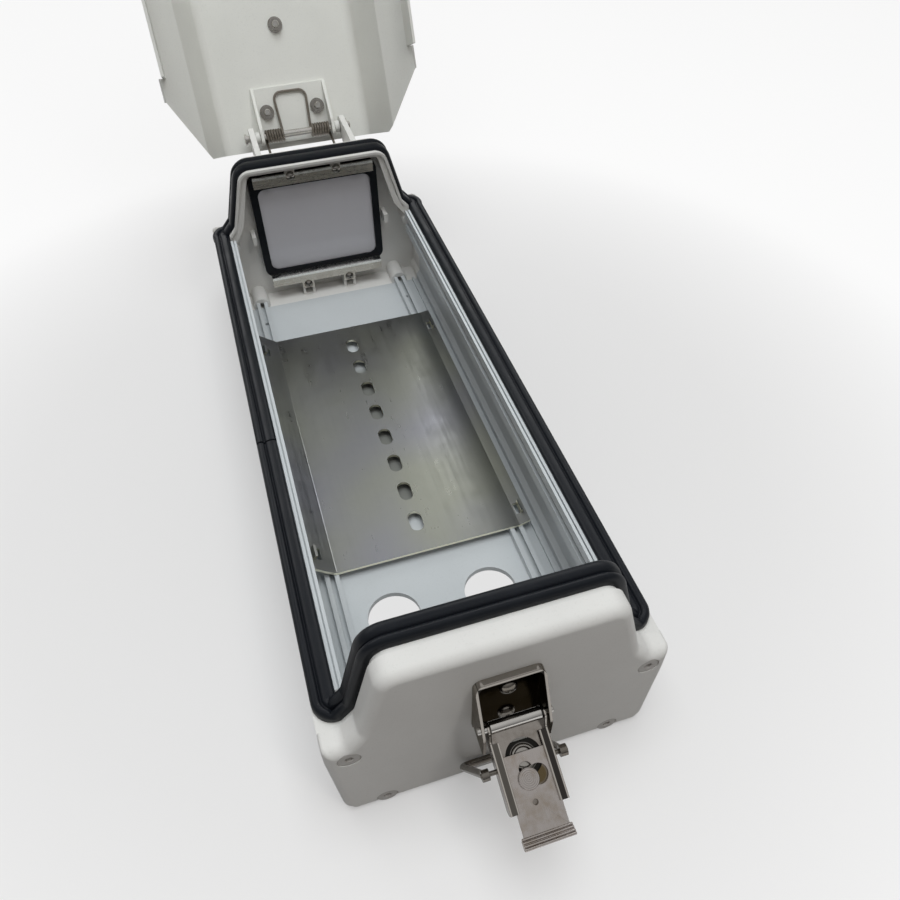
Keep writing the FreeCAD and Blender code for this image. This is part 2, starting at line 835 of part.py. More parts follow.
def make_hinge_bushes():
    start = bracket_half_width + bush_end_gap
    bore = pin_radius + pin_running_gap
    right = ring(bush_radius, bore, start, ear_place - bush_end_gap)
    return both_sides(right)


def swung(shape):
    """A shape of the closed lid, turned about the pin to where the lid stands open."""
    result = shape.copy()
    result.rotate(Vector(0, pin_y, pin_z), Vector(1, 0, 0), -lid_open_angle)
    return result


def make_hinge_spring():
    """Two coils on the pin, with a loop that presses on the lid and a leg on the ledge each side."""
    coil_low = pin_radius + coil_gap
    pitch = (coil_outer_end - coil_inner_end) / coil_turns
    profile = [(coil_low, 0)]
    for turn in range(coil_turns):
        profile.append((coil_low + wire * 0.55, turn * pitch))
        profile.append((coil_low + wire, (turn + 0.3) * pitch))
        profile.append((coil_low + wire, (turn + 0.7) * pitch))
    profile.append((coil_low + wire * 0.55, coil_turns * pitch))
    profile.append((coil_low, coil_turns * pitch))
    coil = turned(profile, Vector(coil_inner_end, pin_y, pin_z), Vector(1, 0, 0))
    under_bracket = lid_inner_z - bracket_sheet - wire / 2 - leg_gap
    rise = under_bracket - pin_z - coil_radius
    lean = degrees(atan2(rise, loop_reach))
    half = coil_inner_end + wire / 2
    loop_line = [(half, pin_y), (loop_half_width, pin_y - loop_reach, loop_corner),
                 (-loop_half_width, pin_y - loop_reach, loop_corner), (-half, pin_y)]
    path = outline(loop_line, in_xy(pin_z + coil_radius), closed=False)
    start = path.Vertexes[0].Point
    heading = Vector(loop_half_width - half, -loop_reach, 0)
    profile = Part.Wire(Part.makeCircle(wire / 2, start, heading))
    loop = path.makePipeShell([profile], True, True)
    loop.rotate(Vector(0, pin_y, pin_z + coil_radius), Vector(1, 0, 0), -lean)
    leg_z = pin_z - coil_radius
    leg_x = coil_outer_end - wire / 2
    foot_z = ledge_top + wire / 2 + leg_gap
    leg = rod(wire / 2, Vector(leg_x, pin_y, leg_z), Vector(leg_x, pin_y - leg_reach, foot_z))
    return joined(both_sides(coil) + both_sides(leg) + [swung(loop)])


def lid_section(flared):
    """The inner line of the closed lid from left to right; flared where the lip is not bent down."""
    z = lid_inner_z
    right = [(lid_flat_half_width, z, lid_crease_radius),
             (lid_band_half_width, z - lid_band_drop, lid_bend_radius + lid_sheet)]
    slope = (lid_flap_drop - lid_band_drop) / (lid_flap_half_width - lid_band_half_width)
    if flared:
        edge = lid_flap_half_width + lid_flare
        right.append((edge, z - lid_flap_drop - lid_flare * slope, 0))
    else:
        right.append((lid_flap_half_width, z - lid_flap_drop, lid_bend_radius))
        right.append((lid_flap_half_width, z - lid_lip_drop, 0))
    left = [(-x, z, r) for x, z, r in reversed(right)]
    return left + right


def sheet_profile(line, thickness):
    """A closed section from a line and the same line moved out by the thickness."""
    return line + list(reversed(shifted(line, thickness)))


def make_lid():
    """Folded sheet: top, two steep bands, two flaps with lips, and an apron at the rear."""
    lip_y = pin_y - lid_lip_start
    front_y = pin_y + lid_front_overhang
    long_part = along_y(sheet_profile(lid_section(False), lid_sheet), lid_rear_y - lid_sheet, lip_y)
    front_part = along_y(sheet_profile(lid_section(True), lid_sheet), lip_y, front_y)
    edge = lid_flap_half_width + lid_flare
    far = edge + 10
    corner = [(lid_front_half_width, front_y), (edge, pin_y - lid_chamfer_place),
              (far, pin_y - lid_chamfer_place), (far, front_y + 1), (lid_front_half_width, front_y + 1)]
    front_part = front_part.cut(both_sides(along_z(corner, 0, 2 * rim_height)))
    top = lid_inner_z + lid_sheet
    apron = along_x([(lid_rear_y, apron_low), (lid_rear_y, lid_inner_z), (lid_rear_y + 3, lid_inner_z),
                     (lid_rear_y + 3, top), (lid_rear_y - lid_sheet, top, lid_sheet),
                     (lid_rear_y - lid_sheet, apron_low)], -apron_half_width, apron_half_width)
    lid = joined([long_part, front_part, apron])
    hole = bolt_radius + bolt_hole_gap
    cuts = []
    for x, reach in lid_bolt_places():
        cuts.append(rod(hole, Vector(x, pin_y - reach, lid_inner_z - 1),
                        Vector(x, pin_y - reach, top + 1)))
    for side in (-1, 1):
        x = side * keeper_rivet_spacing / 2
        cuts.append(rod(keeper_rivet_radius, Vector(x, lid_rear_y + 1, keeper_rivet_height),
                        Vector(x, lid_rear_y - lid_sheet - 1, keeper_rivet_height)))
    return swung(lid.cut(cuts))


def lid_bolt_places():
    return [(-bracket_bolt_place, bracket_bolt_reach), (bracket_bolt_place, bracket_bolt_reach),
            (0, stud_reach)]


def make_lid_bracket():
    """A plate under the lid with two flanges that hang on the pin."""
    low = lid_inner_z - bracket_sheet
    plate = box(-bracket_half_width, bracket_half_width, pin_y - bracket_reach, pin_y + bracket_behind,
                low, lid_inner_z)
    eye = bracket_eye_radius
    flange = along_x([(pin_y - bracket_reach, lid_inner_z), (pin_y - bracket_reach, low - 1.0),
                      (pin_y - eye, pin_z - eye, eye * 0.8), (pin_y + eye, pin_z - eye, eye * 0.8),
                      (pin_y + eye, lid_inner_z)],
                     bracket_half_width - bracket_sheet, bracket_half_width)
    bracket = joined([plate] + both_sides(flange))
    cuts = [rod(pin_radius + pin_running_gap, Vector(-2 * ear_place, pin_y, pin_z),
                Vector(2 * ear_place, pin_y, pin_z))]
    for x, reach in lid_bolt_places()[:2]:
        cuts.append(rod(bolt_radius + bolt_hole_gap, Vector(x, pin_y - reach, low - 1),
                        Vector(x, pin_y - reach, lid_inner_z + 1)))
    return swung(bracket.cut(cuts))


def lid_bolt(x, reach, under):
    """A low-headed bolt through the lid, with its head outside."""
    y = pin_y - reach
    top = lid_inner_z + lid_sheet
    tip = under - nut_height - bolt_proud
    head = turned([(0, 0), (bolt_head_radius, 0), (bolt_head_radius, 0.8),
                   (bolt_head_radius * 0.6, bolt_head_height), (0, bolt_head_height)],
                  Vector(x, y, top), Vector(0, 0, 1))
    return swung(joined([head, rod(bolt_radius, Vector(x, y, tip), Vector(x, y, top + 0.5))]))


def lid_nut(x, reach, under):
    """A flanged nut on the inside."""
    y = pin_y - reach
    flange = rod(nut_flange_radius, Vector(x, y, under), Vector(x, y, under - nut_flange))
    body = hexagon(nut_across, Vector(x, y, under), nut_height, Vector(0, 0, -1))
    bore = rod(bolt_radius, Vector(x, y, under + 1), Vector(x, y, under - nut_height - 1))
    return swung(joined([flange, body]).cut(bore))


def make_bracket_bolts():
    return [lid_bolt(x, reach, lid_inner_z - bracket_sheet) for x, reach in lid_bolt_places()[:2]]


def make_bracket_nuts():
    return [lid_nut(x, reach, lid_inner_z - bracket_sheet) for x, reach in lid_bolt_places()[:2]]


def make_keeper():
    """A hook plate on the lid's apron, with a ledge and an upturned lip for the latch's bail."""
    face = lid_rear_y - lid_sheet
    low = apron_low + 0.3
    step = face - keeper_sheet
    lip = step - keeper_ledge
    hook = along_x([(face, low), (face, keeper_top), (step, keeper_top), (step, low + keeper_sheet),
                    (lip, low + keeper_sheet), (lip, low + keeper_sheet + keeper_lip),
                    (lip - keeper_sheet, low + keeper_sheet + keeper_lip),
                    (lip - keeper_sheet, low, keeper_sheet)], -keeper_half_width, keeper_half_width)
    for side in (-1, 1):
        x = side * keeper_rivet_spacing / 2
        hook = hook.cut(rod(keeper_rivet_radius, Vector(x, face + 1, keeper_rivet_height),
                            Vector(x, step - 1, keeper_rivet_height)))
    return swung(hook)


def make_keeper_rivets():
    face = lid_rear_y - lid_sheet - keeper_sheet
    inner = lid_rear_y
    rivets = []
    for side in (-1, 1):
        x = side * keeper_rivet_spacing / 2
        z = keeper_rivet_height
        shank = rod(keeper_rivet_radius, Vector(x, inner, z), Vector(x, face, z))
        head = turned([(0, 0), (keeper_rivet_head, 0), (keeper_rivet_head * 0.6, keeper_rivet_head_height),
                       (0, keeper_rivet_head_height)], Vector(x, face, z), Vector(0, -1, 0))
        rivets.append(swung(joined([shank, head])))
    return rivets


def make_latch_base():
    """A stamped tray: back, top wall and two cheeks that carry the pivot."""
    face = -half_length
    out = base_half_width
    depth = base_sheet
    foot = face - depth - 0.4
    cheek = [(face, base_low), (face, base_high), (face - cheek_top_depth, base_high, 0.6),
             (face - cheek_depth, cheek_shoulder, 4.0), (face - cheek_depth, base_low, 2.0),
             (foot, base_notch), (foot, base_low)]
    cover = along_x(cheek, -out, out)
    tray = along_y([(-out, base_low - 1), (out, base_low - 1), (out, base_high, base_corner),
                    (-out, base_high, base_corner)], face, face - 2 * cheek_depth)
    body = cover.common(tray)
    hollow = along_y([(-out + depth, base_low - 2), (out - depth, base_low - 2),
                      (out - depth, base_high - depth, base_corner - depth),
                      (-out + depth, base_high - depth, base_corner - depth)],
                     face - depth, face - 3 * cheek_depth)
    body = body.cut(hollow)
    pivot_y = face - pivot_depth
    cuts = [rod(pivot_radius + pivot_hole_gap, Vector(-2 * out, pivot_y, pivot_height),
                Vector(2 * out, pivot_y, pivot_height))]
    for z in (base_screw_high, base_screw_low):
        cuts.append(rod(base_screw_radius + bolt_hole_gap, Vector(0, face + 1, z),
                        Vector(0, face - depth - 1, z)))
    return body.cut(cuts)


def make_base_screws():
    return [domed_screw(0, -half_length - base_sheet, z, base_screw_radius, base_screw_head,
                        base_screw_head_height, base_sheet + base_screw_reach)
            for z in (base_screw_high, base_screw_low)]


def cross_rod(radius, half, point):
    """A rod across the latch through a point (y, z)."""
    return rod(radius, Vector(-half, *point), Vector(half, *point))


def make_latch_pin():
    return cross_rod(pivot_radius, pivot_half_length, latch_point(0, 0))


def make_roller():
    half = lever_half_width - lever_sheet - roller_gap
    outer = cross_rod(roller_radius, half, latch_point(0, 0))
    return outer.cut(cross_rod(pivot_radius + pivot_hole_gap, half + 1, latch_point(0, 0)))


def on_lever(points, x0, x1):
    """A prism across the lever from points (reach, rise) or (reach, rise, radius)."""
    return along_x([(*latch_point(p[0], p[1]), *p[2:]) for p in points], x0, x1)


def through_lever(points, rise0, rise1):
    """A prism through the lever's web from points (x, reach) or (x, reach, radius)."""
    def place(u, v):
        return Vector(u, *latch_point(v, rise0))
    face = Part.Face(outline(points, place))
    return face.extrude(Vector(0, *latch_point(0, rise1)) - Vector(0, *latch_point(0, rise0)))


def round_through(x, reach, radius, rise0, rise1):
    """A round bar square to the lever's web."""
    return rod(radius, Vector(x, *latch_point(reach, rise0)), Vector(x, *latch_point(reach, rise1)))


def make_lever():
    """A channel whose side walls rise to the pivot and fold in over the catch plate's edges."""
    half = lever_half_width
    under = -lever_web - lever_sheet
    lip_low = -lever_web + catch_sheet + 2 * catch_gap
    lip_high = lip_low + lever_lip_sheet
    lip_start = lever_start + 0.8
    web = on_lever([(lever_start, under), (lever_end, under), (lever_end, -lever_web),
                    (lever_start, -lever_web)], -half, half)
    eye = lever_eye_radius
    wall_points = [(-eye * 0.2, eye, eye * 0.9), (-eye, eye * 0.2, eye * 0.9), (-eye, -eye, 1.5),
                   (0.5, -lever_flange, 1.5), (lever_end - 1.5, -lever_flange, 1.5),
                   (lever_end, -lever_web - 1.5), (lever_end, lip_high),
                   (lip_start, lip_high, 1.0), (eye, eye * 0.4, 1.5), (eye * 0.6, eye, eye * 0.5)]
    side = on_lever(wall_points, half - lever_sheet, half)
    fold = on_lever([(lip_start + 0.6, lip_low), (lever_end, lip_low), (lever_end, lip_high),
                     (lip_start + 0.6, lip_high)], half - lever_lip, half)
    lever = joined([web] + both_sides(side) + both_sides(fold))
    cuts = [cross_rod(pivot_radius + pivot_hole_gap, 2 * half, latch_point(0, 0)),
            cross_rod(link_pin_radius, 2 * half, latch_point(link_place, -link_drop)),
            round_through(0, lever_window_place, lever_window_radius, -lever_flange, 0),
            round_through(rivet_side, rivet_place, rivet_radius, -lever_flange, 0)]
    return lever.cut(cuts)


def make_catch_plate():
    """A sliding plate on the lever with a keyhole for the rivet and a ribbed thumb lip."""
    low = -lever_web + catch_gap
    high = low + catch_sheet
    half = catch_half_width
    neck = catch_end - 3.4
    wide = catch_lip_half_width
    plate = through_lever([(-half, catch_start), (half, catch_start), (half, neck, 1.0),
                           (wide, catch_end - 2.2, 0.6), (wide, catch_end), (-wide, catch_end),
                           (-wide, catch_end - 2.2, 0.6), (-half, neck, 1.0)], low, high)
    ribs = [(catch_end - catch_lip_length, low), (catch_end, low), (catch_end + 0.6, low + 0.6)]
    rib_count = 3
    for index in range(rib_count):
        rise = low + 0.6 + (catch_lip_height - 0.6) * (index + 1) / rib_count
        ribs.append((catch_end + 0.15, rise - 0.35))
        ribs.append((catch_end + 0.6, rise))
    ribs.append((catch_end - 0.2, low + catch_lip_height + 0.5))
    ribs.append((catch_end - catch_lip_length, high))
    lip = on_lever(ribs, -wide, wide)
    plate = joined([plate, lip])
    slot = rivet_radius + rivet_gap
    inner = rivet_place - catch_travel - 0.3
    left = rivet_side - slot
    right = rivet_side + slot
    cuts = [round_through(rivet_side, inner, slot, low - 1, high + 1),
            round_through(rivet_side, rivet_place, slot, low - 1, high + 1),
            round_through(catch_entry_offset, rivet_place - 0.5, catch_entry_radius, low - 1, high + 1),
            through_lever([(left, inner), (right, inner), (right, rivet_place), (left, rivet_place)],
                          low - 0.3, high + 1),
            round_through(rivet_side, catch_hole_place, catch_hole_radius, low - 1, high + 1)]
    return plate.cut(cuts)


def make_rivet():
    top = -lever_web + catch_gap + catch_sheet + catch_gap
    under = -lever_web - lever_sheet - leaf_sheet
    shank = round_through(rivet_side, rivet_place, rivet_radius, under, top + 0.2)
    head = round_through(rivet_side, rivet_place, rivet_head_radius, top, top + rivet_head)
    return joined([shank, head])


def make_leaf_spring():
    """A thin leaf under the lever, held by the rivet, with a dome in the lever's window."""
    top = -lever_web - lever_sheet
    start = lever_window_place - leaf_dome_radius - 1.0
    leaf = through_lever([(-leaf_half_width, start, 3.0), (leaf_half_width, start, 3.0),
                          (leaf_half_width, leaf_end, 2.0), (-leaf_half_width, leaf_end, 2.0)],
                         top - leaf_sheet, top)
    y, z = latch_point(lever_window_place, top)
    rise = Vector(0, *latch_point(0, 1)) - Vector(0, *latch_point(0, 0))
    dome = turned([(leaf_dome_radius - 1.6, -leaf_sheet / 2), (leaf_dome_radius, -leaf_sheet / 2),
                   (leaf_dome_radius - 0.3, leaf_dome_height * 0.6),
                   (leaf_dome_radius - 1.0, leaf_dome_height),
                   (leaf_dome_radius - 1.6, leaf_dome_height * 0.6)], Vector(0, y, z), rise)
    hole = round_through(rivet_side, rivet_place, rivet_radius, top - 2, top + 1)
    return joined([leaf, dome]).cut(hole)


def make_link_pin():
    point = latch_point(link_place, -link_drop)
    half = link_eye_place + link_wire / 2 + 0.4
    return cross_rod(link_pin_radius, half, point)


def link_length():
    """From the link's pin to the keeper's seat with the lever shut."""
    pin_y_shut = -half_length - pivot_depth + link_drop
    pin_z_shut = pivot_height - link_place
    seat_y = lid_rear_y - lid_sheet - keeper_sheet - keeper_ledge / 2
    seat_z = apron_low + 0.3 + keeper_sheet + link_wire / 2 + 0.1
    return sqrt((seat_y - pin_y_shut) ** 2 + (seat_z - pin_z_shut) ** 2)


def make_bail():
    """A wire bail that widens from its eyes on the lever to the bar that hooks over the keeper."""
    length = link_length()
    y, z = latch_point(link_place, -link_drop)
    rest_y = -half_length - link_plate_gap - link_wire / 2
    run = rest_y - y
    drop = sqrt(length ** 2 - run ** 2)

    def place(u, v):
        return Vector(u, y + run * v / length, z - drop * v / length)
    line = [(-link_eye_place, 0), (-link_end_half_width, length, link_corner),
            (link_end_half_width, length, link_corner), (link_eye_place, 0)]
    path = outline(line, place, closed=False)
    start = path.Vertexes[0].Point
    heading = place(-link_end_half_width, length) - start
    profile = Part.Wire(Part.makeCircle(link_wire / 2, start, heading))
    bail = path.makePipeShell([profile], True, True)
    eye = rod(link_eye_radius, Vector(link_eye_place - link_wire / 2, y, z),
              Vector(link_eye_place + link_wire / 2, y, z))
    bail = joined([bail] + both_sides(eye))
    gap = pivot_hole_gap
    return bail.cut(cross_rod(link_pin_radius + gap, 2 * base_half_width, (y, z)))


def write(node, shapes):
    """One STEP file for a node, from one solid or a group of separate ones."""
    solids = shapes if isinstance(shapes, list) else [shapes]
    solids = [solid for shape in solids for solid in shape.Solids]
    for solid in solids:
        if not solid.isValid() or solid.Volume <= 0:
            raise ValueError(f"{node}: a solid is not sound")
    shape = solids[0] if len(solids) == 1 else Part.makeCompound(solids)
    shape.exportStep(os.path.join("parts", node + ".step"))
    print(f"{node}: {len(solids)} solid, {shape.Volume:.0f} mm3")


def main():
    os.makedirs("parts", exist_ok=True)
    rear_screws = make_end_screws()
    write("trough_extrusion", make_trough())
    write("rear_plate", make_rear_plate())
    write("front_plate", make_front_plate())
    write("rear_plate_screws", rear_screws)
    write("front_plate_screws", [turned_round(screw) for screw in rear_screws])
    write("rim_gasket", make_gasket())
    write("window_glass", make_window_glass())
    write("window_gasket", make_window_gasket())
    write("upper_clamp_bar", make_upper_clamp_bar())
    write("lower_clamp_bar", make_lower_clamp_bar())
    write("clamp_bar_screws", make_clamp_screws())
    write("camera_plate", make_camera_plate())
    write("hinge_pin", make_hinge_pin())
    write("hinge_pin_clip", make_pin_clips())
    write("hinge_bushes", make_hinge_bushes())
    write("hinge_spring", make_hinge_spring())
    write("lid", make_lid())
    write("lid_bracket", make_lid_bracket())
    write("lid_bracket_bolts", make_bracket_bolts())
    write("lid_bracket_nuts", make_bracket_nuts())
    write("earth_stud", lid_bolt(0, stud_reach, lid_inner_z))
    write("earth_nut", lid_nut(0, stud_reach, lid_inner_z))
    write("lid_keeper", make_keeper())
    write("lid_keeper_rivets", make_keeper_rivets())
    write("latch_base", make_latch_base())
    write("latch_base_screws", make_base_screws())
    write("latch_pin", make_latch_pin())
    write("latch_roller", make_roller())
    write("latch_lever", make_lever())
    write("latch_catch_plate", make_catch_plate())
    write("latch_rivet", make_rivet())
    write("latch_leaf_spring", make_leaf_spring())
    write("latch_link_pin", make_link_pin())
    write("latch_bail", make_bail())


main()
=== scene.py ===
"""Looks of a security camera housing: painted trough, cast ends, open lid, seals, hinge and latch."""
import json
from math import atan2, copysign, cos, pi, radians, sin, tan

import bmesh
import bpy
from mathutils import Matrix, Vector


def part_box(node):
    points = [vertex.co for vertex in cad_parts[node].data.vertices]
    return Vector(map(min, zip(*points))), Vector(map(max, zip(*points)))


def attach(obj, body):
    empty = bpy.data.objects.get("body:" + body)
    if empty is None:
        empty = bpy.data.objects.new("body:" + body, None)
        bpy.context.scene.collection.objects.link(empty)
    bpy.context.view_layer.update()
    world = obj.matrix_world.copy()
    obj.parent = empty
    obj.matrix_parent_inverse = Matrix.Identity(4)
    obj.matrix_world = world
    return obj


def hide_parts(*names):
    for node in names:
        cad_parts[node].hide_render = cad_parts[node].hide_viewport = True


bl_info = {
    "name": "Camera Housing",
    "version": (1, 0, 0),
    "blender": (4, 5, 0),
    "location": "3D View > Sidebar > Housing",
    "description": "Finishes an outdoor security camera housing piece by piece",
    "category": "Object",
}

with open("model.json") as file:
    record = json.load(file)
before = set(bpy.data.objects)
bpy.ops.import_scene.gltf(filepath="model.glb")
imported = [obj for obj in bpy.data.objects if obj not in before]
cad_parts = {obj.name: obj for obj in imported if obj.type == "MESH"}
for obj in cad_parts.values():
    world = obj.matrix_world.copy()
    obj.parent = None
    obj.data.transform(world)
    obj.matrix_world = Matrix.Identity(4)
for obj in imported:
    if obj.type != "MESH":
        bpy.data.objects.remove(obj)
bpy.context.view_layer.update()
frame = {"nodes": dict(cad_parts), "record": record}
NODES = frame["nodes"]
BODY_OF = {}
for body_name, members in frame["record"]["behaviour"]["bodies"].items():
    for member in members:
        BODY_OF[member] = body_name
MM = 0.001
SAME_PLACE = 1e-6
FLOOR_HALF = 6.0
FLOOR_DROP = 0.0002
FLOOR_BOUNCE = 0.35
BACKDROP = 0.8
FLOAT = "NodeSocketFloat"
COLOUR = "NodeSocketColor"
VECTOR = "NodeSocketVector"

# Places and directions on the solids at rest, in millimetres

PIN = Vector((0, 214, 93))
LID_ALONG = Vector((0, 0.42262, 0.90631))
LID_OUTWARD = Vector((0, 0.90631, -0.42262))
LID_OPEN = radians(115)
PIVOT = Vector((0, -190.2, 62.5))
LEVER_ALONG = Vector((0, -0.9205, -0.39073))
LEVER_UP = Vector((0, -0.39073, 0.9205))
END_INNER = 157.0
SEAL_INNER = 160.0
RIM_TOP = 98.0
RIM_TOP_HALF = 43.4
RIM_SLOPE = 0.2667

# Lamps: name, place, target, width, power and tint

LAMPS = (
    ("key_lamp", (0.0, -0.15, 1.45), (0.0, 0.05, 0.10), 0.9, 12.5, (0.95, 0.985, 1.0)),
    ("side_lamp", (0.45, -0.95, 1.25), (0.0, -0.1, 0.05), 0.25, 2.0, (1.0, 0.96, 0.91)),
    ("far_lamp", (-0.5, 1.2, 1.0), (0.0, 0.1, 0.05), 0.6, 1.5, (1.0, 1.0, 1.0)),
)


class HousingColours(bpy.types.PropertyGroup):
    """Paints, rubber and metals of the pieces"""
    casting_paint: bpy.props.FloatVectorProperty(
        name="Casting paint", description="Paint of the cast ends", subtype="COLOR", size=3,
        min=0.0, max=1.0, default=(0.80, 0.79, 0.765))
    lid_paint: bpy.props.FloatVectorProperty(
        name="Lid paint", description="Paint of the folded lid and its bracket", subtype="COLOR",
        size=3, min=0.0, max=1.0, default=(0.83, 0.83, 0.79))
    trough_paint: bpy.props.FloatVectorProperty(
        name="Trough paint", description="Paint of the extruded trough", subtype="COLOR", size=3,
        min=0.0, max=1.0, default=(0.60, 0.63, 0.645))
    rubber: bpy.props.FloatVectorProperty(
        name="Rubber", description="Black of the seals", subtype="COLOR", size=3,
        min=0.0, max=1.0, default=(0.0065, 0.008, 0.011))
    zinc: bpy.props.FloatVectorProperty(
        name="Zinc", description="Grey zinc of the camera plate", subtype="COLOR", size=3,
        min=0.0, max=1.0, default=(0.33, 0.34, 0.34))
    stainless: bpy.props.FloatVectorProperty(
        name="Stainless", description="Stainless steel of the latch", subtype="COLOR", size=3,
        min=0.0, max=1.0, default=(0.50, 0.46, 0.435))
    bright_steel: bpy.props.FloatVectorProperty(
        name="Bright steel", description="Plated screws, pin and bars", subtype="COLOR", size=3,
        min=0.0, max=1.0, default=(0.70, 0.685, 0.65))
    spring_steel: bpy.props.FloatVectorProperty(
        name="Spring steel", description="Grey-brown wire of the hinge spring", subtype="COLOR",
        size=3, min=0.0, max=1.0, default=(0.33, 0.30, 0.265))


class HousingSizes(bpy.types.PropertyGroup):
    """Sizes of the finish and of the small turned pieces"""
    paint_grain: bpy.props.FloatProperty(
        name="Paint grain", description="Size of the bumps in the paint", unit="LENGTH",
        min=0.0001, max=0.005, default=0.0009, precision=4)
    paint_depth: bpy.props.FloatProperty(
        name="Paint depth", description="Height of the bumps in the paint", unit="LENGTH",
        min=0.0, max=0.001, default=0.000015, precision=6)
    soft_edge: bpy.props.FloatProperty(
        name="Soft edge", description="Rounding of painted edges", unit="LENGTH",
        min=0.0, max=0.003, default=0.0007, precision=4)
    sheet_edge: bpy.props.FloatProperty(
        name="Sheet edge", description="Rounding of cut sheet edges", unit="LENGTH",
        min=0.0, max=0.001, default=0.00025, precision=5)
    spring_wire: bpy.props.FloatProperty(
        name="Spring wire", description="Thickness of the hinge spring's wire", unit="LENGTH",
        min=0.0005, max=0.004, default=0.0016, precision=4)
    screw_head: bpy.props.FloatProperty(
        name="Screw head", description="Radius of the end screws' heads", unit="LENGTH",
        min=0.001, max=0.01, default=0.0044, precision=4)
    screw_head_height: bpy.props.FloatProperty(
        name="Screw head height", description="Height of the end screws' heads", unit="LENGTH",
        min=0.001, max=0.01, default=0.0032, precision=4)
    screw_socket: bpy.props.FloatProperty(
        name="Screw socket", description="Width of the end screws' sockets across the flats",
        unit="LENGTH", min=0.001, max=0.006, default=0.003, precision=4)


class HousingStudio(bpy.types.PropertyGroup):
    """Camera, light and floor"""
    lens: bpy.props.FloatProperty(
        name="Lens", description="Focal length on a sensor 36 mm wide", unit="NONE",
        min=10.0, max=200.0, default=31.526)
    camera_place: bpy.props.FloatVectorProperty(
        name="Camera place", description="Where the camera stands", subtype="TRANSLATION", size=3,
        default=(-0.05449, -0.29629, 0.33114))
    camera_yaw: bpy.props.FloatProperty(
        name="Yaw", description="Turn of the camera about the vertical", subtype="ANGLE",
        default=radians(-16.895))
    camera_pitch: bpy.props.FloatProperty(
        name="Pitch", description="How far the camera looks down", subtype="ANGLE",
        default=radians(47.409))
    camera_roll: bpy.props.FloatProperty(
        name="Roll", description="Turn of the camera about its own line of sight", subtype="ANGLE",
        default=radians(-0.975))
    sky: bpy.props.FloatProperty(
        name="Sky", description="Strength of the soft light from above",
        min=0.0, max=3.0, default=0.34)
    horizon: bpy.props.FloatProperty(
        name="Horizon", description="Strength of the soft light from the sides",
        min=0.0, max=3.0, default=0.07)
    glow: bpy.props.FloatProperty(
        name="Glow", description="How far the floor shines by itself where the camera sees it",
        min=0.0, max=1.0, default=0.80)
    floor_colour: bpy.props.FloatVectorProperty(
        name="Floor", description="Colour of the floor", subtype="COLOR", size=3,
        min=0.0, max=1.0, default=(0.875, 0.86, 0.855))


def colours():
    return bpy.context.scene.housing_colours


def sizes():
    return bpy.context.scene.housing_sizes


def studio():
    return bpy.context.scene.housing_studio


# Shader node helpers

def feed(tree, value, socket):
    """Links a socket to another, or sets it to a number, a vector or a colour."""
    if isinstance(value, bpy.types.NodeSocket):
        tree.links.new(value, socket)
    elif socket.type == "RGBA" and len(value) == 3:
        socket.default_value = (*value, 1.0)
    else:
        socket.default_value = value


def node_in(tree, kind, **settings):
    """A node with its settings; a key that names a socket feeds that socket."""
    made = tree.nodes.new(kind)
    for key, value in settings.items():
        if hasattr(made, key):
            setattr(made, key, value)
        else:
            feed(tree, value, made.inputs[key.replace("_", " ")])
    return made


def math_in(tree, operation, first, second=0.0, clamp=False):
    """The result of one sum on sockets or numbers."""
    made = node_in(tree, "ShaderNodeMath", operation=operation, use_clamp=clamp)
    feed(tree, first, made.inputs[0])
    feed(tree, second, made.inputs[1])
    return made.outputs[0]


def vector_in(tree, operation, first, second=(0.0, 0.0, 0.0)):
    """A vector node that works on two vectors."""
    made = node_in(tree, "ShaderNodeVectorMath", operation=operation)
    feed(tree, first, made.inputs[0])
    feed(tree, second, made.inputs[1])
    return made


def mix_in(tree, factor, first, second, blend="MIX"):
    """A colour mix; each entry is a socket or a value."""
    made = node_in(tree, "ShaderNodeMix", data_type="RGBA", blend_type=blend)
    for index, value in ((0, factor), (6, first), (7, second)):
        feed(tree, value, made.inputs[index])
    return made.outputs[2]


def range_in(tree, value, low, high, to_low=0.0, to_high=1.0):
    """A value on its way from low to high, carried to another range and held at its ends."""
    return node_in(tree, "ShaderNodeMapRange", Value=value, From_Min=low, From_Max=high,
                   To_Min=to_low, To_Max=to_high).outputs["Result"]


def between_in(tree, value, rise, fall):
    """One between two places; it rises over one short way and falls over another."""
    return math_in(tree, "MULTIPLY", range_in(tree, value, *rise),
                   range_in(tree, value, *fall, 1.0, 0.0))


def noise_in(tree, vector, scale, detail, roughness):
    """Noise at a scale, which is a number or a socket."""
    return node_in(tree, "ShaderNodeTexNoise", Vector=vector, Scale=scale, Detail=detail,
                   Roughness=roughness).outputs["Fac"]


def bump_in(tree, height, depth, strength=1.0):
    """The normal of a surface that rises with a height."""
    return node_in(tree, "ShaderNodeBump", Strength=strength, Distance=depth, Height=height).outputs[0]


def coordinates(tree, kind="Object"):
    return tree.nodes.new("ShaderNodeTexCoord").outputs[kind]


def axes_in(tree, kind="Object"):
    """The X, Y and Z sockets of the coordinates."""
    return node_in(tree, "ShaderNodeSeparateXYZ", Vector=coordinates(tree, kind)).outputs


def near_spot(tree, spot, radius, soft):
    """One close to a spot, in metres, and nothing away from it."""
    away = vector_in(tree, "DISTANCE", coordinates(tree), spot).outputs["Value"]
    return range_in(tree, away, radius - soft, radius, 1.0, 0.0)


